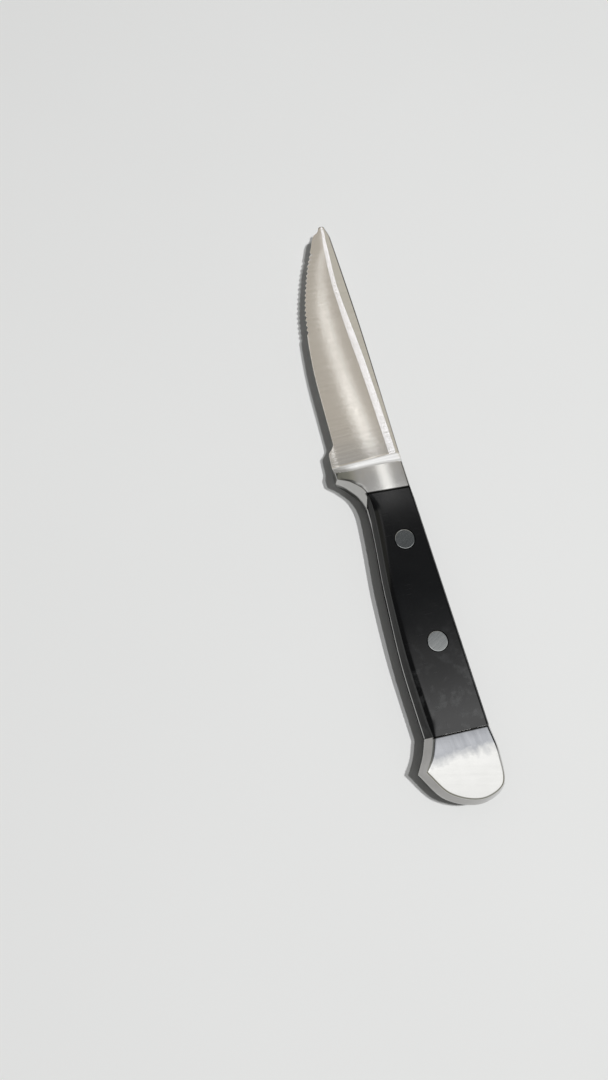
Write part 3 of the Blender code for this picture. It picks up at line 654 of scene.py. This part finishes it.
# Joint shade: the colour, darkened by painted shade as the distance from a joint falls from the first given
# distance to the second
JOINT_SHADE = (0.012, 0.012, 0.011, 1)
joint_painted_shade, given, result = new_group(
    "joint_painted_shade", {"Color": "Color", "Distance": 0.0, "Unshaded": 0.0008, "Dark": 0.0004, "Share": 1.0},
    {"Color": "Color"})
in_joint_shade = rising(joint_painted_shade, given["Distance"], given["Unshaded"], given["Dark"])
in_joint_shade = product(joint_painted_shade, in_joint_shade, given["Share"])
joint_painted_shade.links.new(mixed(joint_painted_shade, in_joint_shade, given["Color"], JOINT_SHADE), result["Color"])


def finish(name, base_roughness, metallic):
    """A new material, its tree, its Principled shader, and the places and normals on the object."""
    made = bpy.data.materials.new(name)
    made.use_nodes = True
    tree = made.node_tree
    shader = tree.nodes["Principled BSDF"]
    shader.inputs["Metallic"].default_value = metallic
    shader.inputs["Roughness"].default_value = base_roughness
    return made, tree, shader, node(tree, "ShaderNodeTexCoord").outputs


def surface(tree, shader, colour, roughness, height, strength, distance=0.00002):
    """Gives the shader its colour, its roughness and the relief of height."""
    bump = node(tree, "ShaderNodeBump", {"Height": height, "Strength": strength, "Distance": distance})
    tree.links.new(colour, shader.inputs["Base Color"])
    tree.links.new(roughness, shader.inputs["Roughness"])
    tree.links.new(bump.outputs[0], shader.inputs["Normal"])


# Blade steel: ground across the blade, polished on the bolster, with the change at the fillet's foot
FILLET_FOOT_PLACE = FILLET_FOOT_Y + PLACE[1]
blade_steel, tree, shader, here = finish("blade_steel", 0.2, 1.0)
across, along, high = axes(tree, here["Object"])
facing = axes(tree, here["Normal"])
ground = placed(tree, grinding_lines, {"Vector": here["Object"], "Lines": 5200.0, "Drawn Out": 0.02})
marks = placed(tree, handling_marks, {"Vector": here["Object"], "Smudge Size": 110.0, "Scratch Share": 0.5})
faces = placed(tree, leaning_faces, {"Normal": here["Normal"]})
on_blade = rising(tree, along, FILLET_FOOT_PLACE - 0.001, FILLET_FOOT_PLACE + 0.001)
off_blade = node(tree, "ShaderNodeMath", {0: 1.0, 1: on_blade}, operation="SUBTRACT").outputs[0]

# Its ground face, with coarser lines near the bolster, and the polish of the bolster
tint = ramp(tree, ground["Shade"], (0.3, (0.632, 0.624, 0.606)), (0.7, (0.665, 0.657, 0.640)))
coarse_lines = ramp(tree, ground["Shade"], (0.35, (0.60, 0.592, 0.572)), (0.65, (0.695, 0.687, 0.667)))
near_bolster = rising(tree, along, FILLET_FOOT_PLACE + 0.004, FILLET_FOOT_PLACE + 0.030, low=0.30, high=0.0)
tint = mixed(tree, near_bolster, tint, coarse_lines)
polished = ramp(tree, marks["Smudge"], (0.3, (0.605, 0.598, 0.578)), (0.7, (0.645, 0.638, 0.618)))
colour = mixed(tree, on_blade, polished, tint)

# The hollow fillet, painted with shade near the guard and a highlight towards the spine
in_fillet = product(tree, rising(tree, facing[1], 0.15, 0.30), off_blade)
from_guard = rising(tree, across, PLACE[0] - 0.0180, PLACE[0] - 0.0085)
fillet_painted_light = ramp(tree, from_guard, (0.0, (0.36, 0.352, 0.335)), (0.45, (0.42, 0.412, 0.395)),
                     (0.75, (0.70, 0.697, 0.687)), (1.0, (0.80, 0.797, 0.787)))
colour = mixed(tree, in_fillet, colour, fillet_painted_light)

# The upright sides, painted darker as shade, and the faces that look under the bolster, painted dark as shade
on_side = rising(tree, size_of(tree, facing[0]), 0.3, 0.6)
side_painted_shade = ramp(tree, marks["Smudge"], (0.3, (0.43, 0.425, 0.41)), (0.7, (0.48, 0.475, 0.46)))
colour = mixed(tree, on_side, colour, side_painted_shade)
colour = mixed(tree, product(tree, faces["Beneath"], off_blade), colour, (0.16, 0.16, 0.155, 1))

# A dark rim painted around the tip as a dark reflection
tip_centre = (TIP_OFFSET + PLACE[0], TIP_Y - TIP_RADIUS + PLACE[1], 0)
flattened = node(tree, "ShaderNodeVectorMath", {0: here["Object"], 1: (1, 1, 0)}, operation="MULTIPLY")
from_tip = node(tree, "ShaderNodeVectorMath", {0: flattened.outputs[0], 1: tip_centre}, operation="DISTANCE")
tip_painted_dark_rim = product(tree, rising(tree, from_tip.outputs["Value"], TIP_RADIUS - 0.0005, TIP_RADIUS - 0.0002),
              rising(tree, along, tip_centre[1], tip_centre[1] + 0.4 * TIP_RADIUS))
colour = mixed(tree, tip_painted_dark_rim, colour, (0.30, 0.295, 0.285, 1))

# The tang's dressed edge behind the shoulder, painted darker as shade, and a dark line painted as shade in
# the shoulder's joint with the scales
ahead = sum_of(tree, (along, 1.0), (across, -SHOULDER_SKEW),
               (1.0, SHOULDER_SKEW * PLACE[0] - PLACE[1] - SHOULDER_Y))
raised = size_of(tree, node(tree, "ShaderNodeMath", {0: high, 1: PLACE[2]}, operation="SUBTRACT").outputs[0])
tang_edge_painted_shade = product(tree, rising(tree, raised, 0.0014, 0.0011), on_side)
tang_edge_painted_shade = product(tree, tang_edge_painted_shade, rising(tree, ahead, 0.001, -0.001))
colour = mixed(tree, tang_edge_painted_shade, colour, (0.30, 0.30, 0.295, 1))
colour = placed(tree, joint_painted_shade, {
    "Color": colour, "Distance": ahead, "Share": rising(tree, raised, 0.0060, 0.0068)})["Color"]

smooth_part = sum_of(tree, (marks["Smudge"], 0.04), (marks["Scratch"], 0.08), (1.0, 0.04))
ground_part = sum_of(tree, (marks["Smudge"], 0.02), (1.0, 0.05))
roughness = node(tree, "ShaderNodeMix", {0: on_blade, 2: smooth_part, 3: ground_part}, data_type="FLOAT")
depth = rising(tree, on_blade, 0.0, 1.0, low=0.04, high=0.25)
surface(tree, shader, colour, roughness.outputs[0], ground["Height"], depth)

forging.data.materials.append(blade_steel)
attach(forging, "root")
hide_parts("blade_and_tang")


# The two scales
# Black plastic grips, moulded flat inside and slightly wedge-shaped at the sides, with rounded long edges.
# Each has a stepped hole for each rivet, and its outer face is ground flush with the steel.

TANG_LIP = 0.0007  # tang beyond the scales, finger side, next to the bolster
TANG_LIP_LENGTH = 0.0140
SCALE_ROUNDING = 0.0028
SCALE_ROUNDING_AT_ENDS = 0.0010
SCALE_ROUNDING_RUN = 0.006  # how far from its ends a scale's rounding is full
BACK_ROUNDING = 0.0008
CAP_JOINT_GAP = 0.00005  # the scales meet the cap tightly
RIVET_HEAD_DIAMETER = 0.0079
RIVET_HEAD_THICKNESS = 0.0016


def scale_rings(side):
    """A scale's rings over 90 stations: leaning walls, rounded edges, a flat face and a flat inside.

    The section comes from rounded_walls with a level face, and the ring is turned round for the lower scale.
    """
    y = np.linspace(CAP_FRONT_Y + CAP_JOINT_GAP, SHOULDER_Y - FIT_GAP, 90)
    base = HALF_TANG + FIT_GAP
    share = (base - HALF_TANG) / (HALF_HANDLE - HALF_TANG)
    foot_y = y - shoulder_lean(y)
    lip = np.interp(foot_y, [SHOULDER_Y - TANG_LIP_LENGTH, SHOULDER_Y - SHOULDER_LEAN], [0.0, TANG_LIP])
    waist = (finger_line(foot_y) + lip)[:, None]
    left = (finger_line(y) + finger_flare(y))[:, None]
    right = np.full_like(left, SPINE_OFFSET - BACK_FLARE)
    top = np.full_like(left, HALF_HANDLE)
    rounding = np.interp(y, [y[0], y[0] + SCALE_ROUNDING_RUN, y[-1] - SCALE_ROUNDING_RUN, y[-1]],
                         [SCALE_ROUNDING_AT_ENDS, SCALE_ROUNDING, SCALE_ROUNDING, SCALE_ROUNDING_AT_ENDS])
    left_foot = (between(waist, left, share), np.full_like(left, base))
    right_foot = (between(SPINE_OFFSET, right, share), np.full_like(left, base))
    x, z = rounded_walls(left_foot, (left, top), (right, top), right_foot,
                         (rounding[:, None], np.full_like(left, BACK_ROUNDING)),
                         lambda x: np.full_like(x, HALF_HANDLE))
    rings = set_along(y, x, z) * [1, 1, side]
    return rings if side > 0 else rings[:, ::-1]


# Plastic: black, half polished on its face and dull at its sides, with a very fine grain, marks of washing,
# and wiped marks near the butt
black_plastic, tree, shader, here = finish("black_plastic", 0.3, 0.0)
marks = placed(tree, handling_marks, {"Vector": here["Object"], "Smudge Size": 70.0, "Scratch Share": 0.6})
faces = placed(tree, leaning_faces, {"Normal": here["Normal"], "Level": 0.60, "Upright": 0.35})
colour = ramp(tree, marks["Smudge"], (0.3, (0.0026, 0.0027, 0.0030)), (0.7, (0.0046, 0.0047, 0.0050)))
colour = mixed(tree, marks["Scratch"], colour, (0.03, 0.03, 0.031, 1))
wiped = placed(tree, handling_marks, {"Vector": here["Object"], "Smudge Size": 230.0})["Smudge"]
near_butt = rising(tree, axes(tree, here["Object"])[1], PLACE[1] - 0.050, PLACE[1] - 0.080)
wiped = product(tree, rising(tree, wiped, 0.50, 0.72), near_butt)
colour = mixed(tree, wiped, colour, (0.036, 0.037, 0.038, 1))
roughness = sum_of(tree, (marks["Smudge"], 0.05), (marks["Scratch"], 0.20), (faces["Side"], 0.62),
                   (1.0, 0.06))
grain = noise(tree, here["Object"], 4200.0, 2.0)
relief = sum_of(tree, (grain, 0.6), (marks["Smudge"], 0.8), (marks["Scratch"], -0.6))
surface(tree, shader, colour, roughness, relief, 0.12, distance=0.00003)
shader.inputs["IOR"].default_value = 1.56

for scale_name, side in (("upper_scale", 1), ("lower_scale", -1)):
    scale = skin("moulded_" + scale_name, scale_rings(side))
    seat = HALF_HANDLE - RIVET_HEAD_THICKNESS - FIT_GAP
    head = RIVET_HEAD_DIAMETER / 2 + FIT_GAP
    for place, y in RIVET_YS.items():
        profile = [(shank, 0.0), (shank, seat), (head, seat), (head, HANDLE_THICKNESS)]
        if side < 0:
            profile = [(radius, -z) for radius, z in reversed(profile)]
        cut_out(scale, turned(f"{place}_{scale_name}_hole", profile, y))
    smooth(scale)
    scale.data.materials.clear()
    scale.data.materials.append(black_plastic)
    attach(scale, "root")
    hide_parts(scale_name)


# The end cap
# A solid steel butt with a hooked corner, cast, ground and polished. A blind slot in its front takes the
# tang's tongue.

CAP_LENGTH = 0.02719
BEAK_REACH = 0.0213
BEAK_SETBACK = 0.0110
HOOK_REACH = 0.0174
HOOK_SETBACK = 0.0049
CHEEK_REACH = 0.0140
CHEEK_SETBACK = 0.0221
END_OFFSET = 0.0003
CORNER_REACH = 0.0085
CORNER_SETBACK = 0.0239
CAP_BACK_REACH = 0.0114
CAP_BACK_SETBACK = 0.0122
CAP_FLARE = 0.0020
CAP_ROUNDING = 0.0009
CAP_FALL = 0.00010  # how far the polished face falls to its joint
CAP_FALL_LENGTH = 0.0080


def smooth_path(points, steps):
    """A curve through the (x, y) points, the same number of steps in each span.

    x and y are each a cubic Hermite of the running chord length, with slopes by central differences.
    """
    length = np.concatenate([[0.0], np.cumsum(np.linalg.norm(np.diff(points, axis=0), axis=1))])
    slopes = np.gradient(points, length, axis=0)
    spans = np.linspace(length[:-1], length[1:], steps, endpoint=False).T
    place = np.append(spans.ravel(), length[-1])
    i = np.clip(np.searchsorted(length, place) - 1, 0, len(length) - 2)
    span = (length[i + 1] - length[i])[:, None]
    t = (place[:, None] - length[i][:, None]) / span
    return hermite(t, span, points[i], slopes[i], points[i + 1], slopes[i + 1])


def cap_outline(share, extra=0.0):
    """The cap from above, as (x, y) from its joint's left end round the beak and the butt to its right end.

    Its eight leading points lie at the waist where share is 0 and at the face where it is 1, moved inwards by
    the flare, and extra moves them further. Two smooth paths join them, which meet at the beak.
    """
    left, right = -TAIL_REACH, SPINE_OFFSET
    waist = np.array([
        (left, CAP_FRONT_Y + CAP_SKEW * left),
        (-HOOK_REACH, CAP_FRONT_Y - HOOK_SETBACK),
        (-BEAK_REACH, CAP_FRONT_Y - BEAK_SETBACK),
        (-CHEEK_REACH, CAP_FRONT_Y - CHEEK_SETBACK),
        (END_OFFSET, CAP_FRONT_Y - CAP_LENGTH),
        (CORNER_REACH, CAP_FRONT_Y - CORNER_SETBACK),
        (CAP_BACK_REACH, CAP_FRONT_Y - CAP_BACK_SETBACK),
        (right, CAP_FRONT_Y + CAP_SKEW * right),
    ])
    tangent = np.gradient(waist, axis=0)
    tangent /= np.linalg.norm(tangent, axis=1)[:, None]
    inward = np.stack([-tangent[:, 1], tangent[:, 0]], axis=1)
    inward[0] = (1.0, CAP_SKEW)
    inward[-1] = (-1.0, -CAP_SKEW)
    flare = np.full(len(waist), CAP_FLARE)
    flare[0], flare[-1] = SIDE_FLARE_AT_CAP, BACK_FLARE
    points = waist + inward * (flare * share + extra)[:, None]
    outline = np.concatenate([smooth_path(points[:3], 24)[:-1], smooth_path(points[2:], 24)])
    joint = between(outline[-1], outline[0], np.linspace(0, 1, 22)[1:-1, None])
    return np.concatenate([outline, joint])


def cap_face_height(outline):
    """The face's z over (x, y) points: level, and falling to the joint as the square of the way there."""
    into = CAP_FRONT_Y + CAP_SKEW * outline[:, 0] - outline[:, 1]
    return HALF_HANDLE - CAP_FALL * np.clip(1 - into / CAP_FALL_LENGTH, 0, 1)**2


# Rings of its upper half: up the leaning wall, round the edge as a quadratic arc, and in over the face
wall_share = CAP_ROUNDING / (HALF_HANDLE - HALF_TANG)
wall_top = cap_outline(1 - wall_share)
corner_line = cap_outline(1.0)
face_line = cap_outline(1.0, CAP_ROUNDING)
levels = []
for share in np.linspace(0, 1 - wall_share, 8):
    height = np.full(len(wall_top), between(HALF_TANG, HALF_HANDLE, share))
    levels.append(np.column_stack([cap_outline(share), height]))
for t in np.linspace(0, 1, 9)[1:]:
    outline = (1 - t)**2 * wall_top + 2 * t * (1 - t) * corner_line + t**2 * face_line
    levels.append(np.column_stack([outline, cap_face_height(outline) - CAP_ROUNDING * (1 - t)**2]))
for share in np.linspace(0, 0.97, 24)[1:]:
    outline = between(face_line, face_line.mean(axis=0), share)
    levels.append(np.column_stack([outline, cap_face_height(outline)]))
cap = skin("polished_end_cap", np.concatenate([np.array(levels[::-1]) * [1, 1, -1], np.array(levels)]))
half_slot = HALF_TANG + FIT_GAP
slot_left = TONGUE_OFFSET - TONGUE_WIDTH / 2 - FIT_GAP
slot_right = TONGUE_OFFSET + TONGUE_WIDTH / 2 + FIT_GAP
slot_end = CAP_FRONT_Y - TONGUE_LENGTH - FIT_GAP
slot_rings = np.array([[(x, y, z) for x, z in ((slot_left, half_slot), (slot_right, half_slot),
                                               (slot_right, -half_slot), (slot_left, -half_slot))]
                       for y in (slot_end, CAP_FRONT_Y + TONGUE_LENGTH)])
cut_out(cap, skin("tongue_slot", slot_rings))
smooth(cap)

# Cap steel: bright polish with faint brushing, and a streaked band that runs ragged along the joint, its
# darkness a painted darker reflection
cap_steel, tree, shader, here = finish("cap_steel", 0.15, 1.0)
ground = placed(tree, grinding_lines, {
    "Vector": rotated(tree, here["Object"], 0.25), "Lines": 3600.0, "Drawn Out": 0.04})
streaks = placed(tree, grinding_lines, {
    "Vector": rotated(tree, here["Object"], 1.45), "Lines": 2600.0, "Drawn Out": 0.10})
marks = placed(tree, handling_marks, {"Vector": here["Object"], "Smudge Size": 160.0, "Scratch Share": 0.5})
faces = placed(tree, leaning_faces, {"Normal": here["Normal"], "Level": 0.7, "Upright": 0.35})
bright = ramp(tree, sum_of(tree, (ground["Shade"], 0.5), (marks["Smudge"], 0.5)),
              (0.35, (0.69, 0.688, 0.67)), (0.65, (0.735, 0.732, 0.715)))
streaked_band_painted_dark = ramp(tree, streaks["Shade"], (0.35, (0.285, 0.293, 0.310)), (0.65, (0.345, 0.353, 0.370)))
across, along, _ = axes(tree, here["Object"])
into = sum_of(tree, (across, CAP_SKEW), (along, -1.0), (1.0, CAP_FRONT_Y + PLACE[1] - CAP_SKEW * PLACE[0]))
ragged = sum_of(tree, (streaks["Shade"], -0.004), (marks["Smudge"], -0.008), (into, 1.0), (1.0, 0.0060))
colour = mixed(tree, rising(tree, ragged, 0.0062, 0.0108), streaked_band_painted_dark, bright)
# A dark line painted as shade along the cap's joint
colour = placed(tree, joint_painted_shade, {
    "Color": colour, "Distance": into, "Unshaded": 0.0009, "Dark": 0.0005})["Color"]
# The upright sides painted darker as shade, and the faces that look down painted dark as shade
side_painted_shade = ramp(tree, marks["Smudge"], (0.3, (0.35, 0.34, 0.33)), (0.7, (0.41, 0.40, 0.39)))
colour = mixed(tree, faces["Side"], colour, side_painted_shade)
colour = mixed(tree, faces["Beneath"], colour, (0.13, 0.13, 0.125, 1))
roughness = sum_of(tree, (marks["Smudge"], 0.08), (marks["Scratch"], 0.1), (1.0, 0.07))
surface(tree, shader, colour, roughness, ground["Height"], 0.12)

cap.data.materials.clear()
cap.data.materials.append(cap_steel)
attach(cap, "root")
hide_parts("end_cap")


# The rivets
# Two-piece cutlery rivets of soft steel. A sleeve goes down through the upper scale and the tang, a pin comes
# up through the lower scale into its bore, and both heads are ground flush with the scales.

PIN_DIAMETER = 0.0026

# Rivet steel: brushed at a slant, with painted shade darkening the chamfer round the head
rivet_steel, tree, shader, here = finish("rivet_steel", 0.3, 1.0)
ground = placed(tree, grinding_lines, {
    "Vector": rotated(tree, here["Object"], -0.5), "Lines": 6000.0, "Drawn Out": 0.03})
marks = placed(tree, handling_marks, {"Vector": here["Object"], "Smudge Size": 400.0, "Scratch Share": 0.8})
faces = placed(tree, leaning_faces, {"Normal": here["Normal"], "Level": 0.985, "Upright": 0.90})
colour = ramp(tree, ground["Shade"], (0.35, (0.44, 0.455, 0.455)), (0.65, (0.50, 0.515, 0.515)))
# The chamfer painted dark as shade
colour = mixed(tree, faces["Side"], colour, (0.05, 0.051, 0.051, 1))
roughness = sum_of(tree, (marks["Smudge"], 0.04), (ground["Shade"], 0.03), (1.0, 0.04))
surface(tree, shader, colour, roughness, ground["Height"], 0.2)

head = RIVET_HEAD_DIAMETER / 2
under_head = HALF_HANDLE - RIVET_HEAD_THICKNESS
bore = PIN_DIAMETER / 2 + FIT_GAP
bore_end = under_head - FIT_GAP
chamfer = RIVET_HEAD_THICKNESS / 16
sleeve_profile = [
    (bore, bore_end), (bore, -under_head + FIT_GAP), (SLEEVE_DIAMETER / 2, -under_head + FIT_GAP),
    (SLEEVE_DIAMETER / 2, under_head), (head, under_head), (head, HALF_HANDLE - chamfer),
    (head - chamfer * 0.3, HALF_HANDLE - chamfer * 0.3), (head - chamfer, HALF_HANDLE),
    (head * 0.94, HALF_HANDLE),
]
pin_profile = [
    (head * 0.94, -HALF_HANDLE), (head - chamfer, -HALF_HANDLE),
    (head - chamfer * 0.3, -HALF_HANDLE + chamfer * 0.3), (head, -HALF_HANDLE + chamfer),
    (head, -under_head), (PIN_DIAMETER / 2, -under_head), (PIN_DIAMETER / 2, bore_end - FIT_GAP),
]
for place, y in RIVET_YS.items():
    for part, profile in (("sleeve", sleeve_profile), ("pin", pin_profile)):
        rivet = turned(f"turned_{place}_rivet_{part}", profile, y)
        smooth(rivet)
        rivet.data.materials.append(rivet_steel)
        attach(rivet, "root")
        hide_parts(f"{place}_rivet_{part}")


# Where it lies
# A pale floor, paler towards -X by a painted gradient of light, two small lamps to the right that light it
# and cast a double shadow, strips of light ahead that are only mirrored, and a soft pale room around it.

FLOOR_REACH = 1.6
floor_mesh = bpy.data.meshes.new("floor")
floor_mesh.from_pydata([(-FLOOR_REACH, -FLOOR_REACH, 0), (FLOOR_REACH, -FLOOR_REACH, 0),
                        (FLOOR_REACH, FLOOR_REACH, 0), (-FLOOR_REACH, FLOOR_REACH, 0)], [], [(0, 1, 2, 3)])
floor = bpy.data.objects.new("floor", floor_mesh)
bpy.context.scene.collection.objects.link(floor)
floor_paint, tree, shader, here = finish("floor_paint", 0.6, 0.0)
cloud = noise(tree, here["Object"], 6.0, 3.0)
# Its colour is mottled at random, and paler towards -X as a painted gradient of light
mottle_and_painted_light = sum_of(tree, (cloud, 0.35), (axes(tree, here["Object"])[0], -2.6), (1.0, 0.32))
tree.links.new(ramp(tree, mottle_and_painted_light, (0.0, (0.785, 0.79, 0.785)), (1.0, (0.875, 0.88, 0.875))),
               shader.inputs["Base Color"])
shader.inputs["Specular IOR Level"].default_value = 0.2
floor_mesh.materials.append(floor_paint)

LAMP_HEIGHT = 2.0
COOL = (0.96, 1.0, 1.12)


def lamp(name, x, y, width, length, watts, mirrored, colour=(1.0, 1.0, 1.0)):
    """A flat lamp that faces straight down, which either lights its surroundings or is only mirrored."""
    light = bpy.data.lights.new(name, "AREA")
    light.shape = "RECTANGLE"
    light.size = width
    light.size_y = length
    light.energy = watts
    light.color = colour
    made = bpy.data.objects.new(name, light)
    made.location = (x, y, LAMP_HEIGHT)
    made.visible_camera = False
    made.visible_diffuse = not mirrored
    made.visible_glossy = mirrored
    bpy.context.scene.collection.objects.link(made)


lamp("near_lamp", 0.465, -0.20, 0.030, 0.10, 11.2, mirrored=False)
lamp("far_lamp", 0.720, -0.20, 0.030, 0.10, 27.4, mirrored=False)
lamp("strip_ahead", 0.520, 0.63, 0.030, 0.16, 0.018, mirrored=True)
lamp("long_strip_ahead", 0.520, 1.18, 0.038, 0.94, 0.160, mirrored=True, colour=COOL)
lamp("soft_strip", 0.336, 0.84, 0.040, 0.24, 0.034, mirrored=True)
lamp("long_soft_strip", 0.342, 1.12, 0.040, 0.32, 0.035, mirrored=True)
lamp("far_soft_strip", 0.342, 1.48, 0.040, 0.40, 0.025, mirrored=True)

# The room that the steel and the plastic mirror. Overhead it changes with the lean of the mirrored ray, from
# 0 for level and back over the butt, through 0.5 for straight up, to 1 for level and ahead past the tip
world = bpy.data.worlds.new("room")
bpy.context.scene.world = world
world.use_nodes = True
tree = world.node_tree
background = tree.nodes["Background"]
direction = axes(tree, node(tree, "ShaderNodeTexCoord").outputs["Generated"])
lean = node(tree, "ShaderNodeMath", {0: direction[1], 1: direction[2]}, operation="ARCTAN2").outputs[0]
lean = rising(tree, lean, -math.pi / 2, math.pi / 2)
forwards = rising(tree, direction[1], -1.0, 1.0)
OLIVE = (0.30, 0.30, 0.26)
DARK_OLIVE = (0.27, 0.262, 0.22)
WARM = (0.62, 0.572, 0.505)
overhead = ramp(tree, lean,
                (0.0, 0.5), (0.10, OLIVE), (0.28, OLIVE), (0.36, 0.6), (0.41, 1.15), (0.487, 1.17),
                (0.499, 1.9), (0.513, 0.95), (0.530, 0.46),
                (0.539, (0.192, 0.200, 0.205)), (0.557, (0.104, 0.110, 0.116)),
                (0.570, (0.146, 0.151, 0.153)), (0.583, (0.112, 0.114, 0.117)), (0.587, 0.95), (0.594, 0.44),
                (0.606, (0.50, 0.48, 0.45)), (0.618, WARM), (0.70, WARM), (0.76, 0.86), (0.86, 0.88),
                (0.94, 1.05), (1.0, 1.15))
walls = ramp(tree, direction[2], (0.0, 0.75), (0.12, 0.55), (0.25, OLIVE), (0.60, OLIVE), (0.80, 0.5))
room = mixed(tree, rising(tree, size_of(tree, direction[0]), 0.55, 0.72), overhead, walls)

# To the left it is olive ahead and dark beside the knife, and to the right pale ahead and dark far out
left_front = product(tree, rising(tree, direction[0], 0.03, -0.60), rising(tree, forwards, 0.630, 0.642))
room = mixed(tree, left_front, room, (0.31, 0.31, 0.27, 1))
left_side = product(tree, rising(tree, direction[0], -0.18, -0.42), rising(tree, forwards, 0.642, 0.630))
room = mixed(tree, left_side, room, ramp(tree, forwards, (0.44, DARK_OLIVE), (0.50, 0.07)))
right_wall = product(tree, rising(tree, direction[0], 0.33, 0.41), rising(tree, lean, 0.598, 0.612))
room = mixed(tree, right_wall, room, (0.71, 0.678, 0.60, 1))
far_right = rising(tree, direction[0], 0.46, 0.54)
room = mixed(tree, far_right, room, ramp(tree, forwards, (0.38, DARK_OLIVE), (0.46, 0.50), (0.50, 0.05)))

# Mirrored rays see the room, the camera sees a plain pale backdrop, and everything else gets a dim even light
AMBIENT = (0.140, 0.140, 0.137, 1)
BACKDROP = (0.74, 0.74, 0.73, 1)
ray = node(tree, "ShaderNodeLightPath").outputs
lighting = mixed(tree, ray["Is Glossy Ray"], AMBIENT, room)
tree.links.new(mixed(tree, ray["Is Camera Ray"], lighting, BACKDROP), background.inputs["Color"])

# The camera looks almost straight down. It is tilted forwards from there, headed to the right, and rolled
CAMERA_PLACE = (-0.07779, -0.09607, 0.3330)
CAMERA_HEADING = -27.855  # degrees, turned from +Y
CAMERA_TILT = 16.323
CAMERA_ROLL = 12.680
camera = bpy.data.cameras.new("camera")
camera.sensor_fit = "VERTICAL"
camera.sensor_height = 36.0
camera.lens = 28.0
camera.clip_start = 0.01
viewpoint = bpy.data.objects.new("camera", camera)
viewpoint.matrix_world = (Matrix.Translation(CAMERA_PLACE)
                          @ Matrix.Rotation(math.radians(CAMERA_HEADING), 4, "Z")
                          @ Matrix.Rotation(math.radians(CAMERA_TILT), 4, "X")
                          @ Matrix.Rotation(math.radians(CAMERA_ROLL), 4, "Z"))
bpy.context.scene.collection.objects.link(viewpoint)
bpy.context.scene.camera = viewpoint

bpy.context.scene.view_settings.view_transform = "Standard"
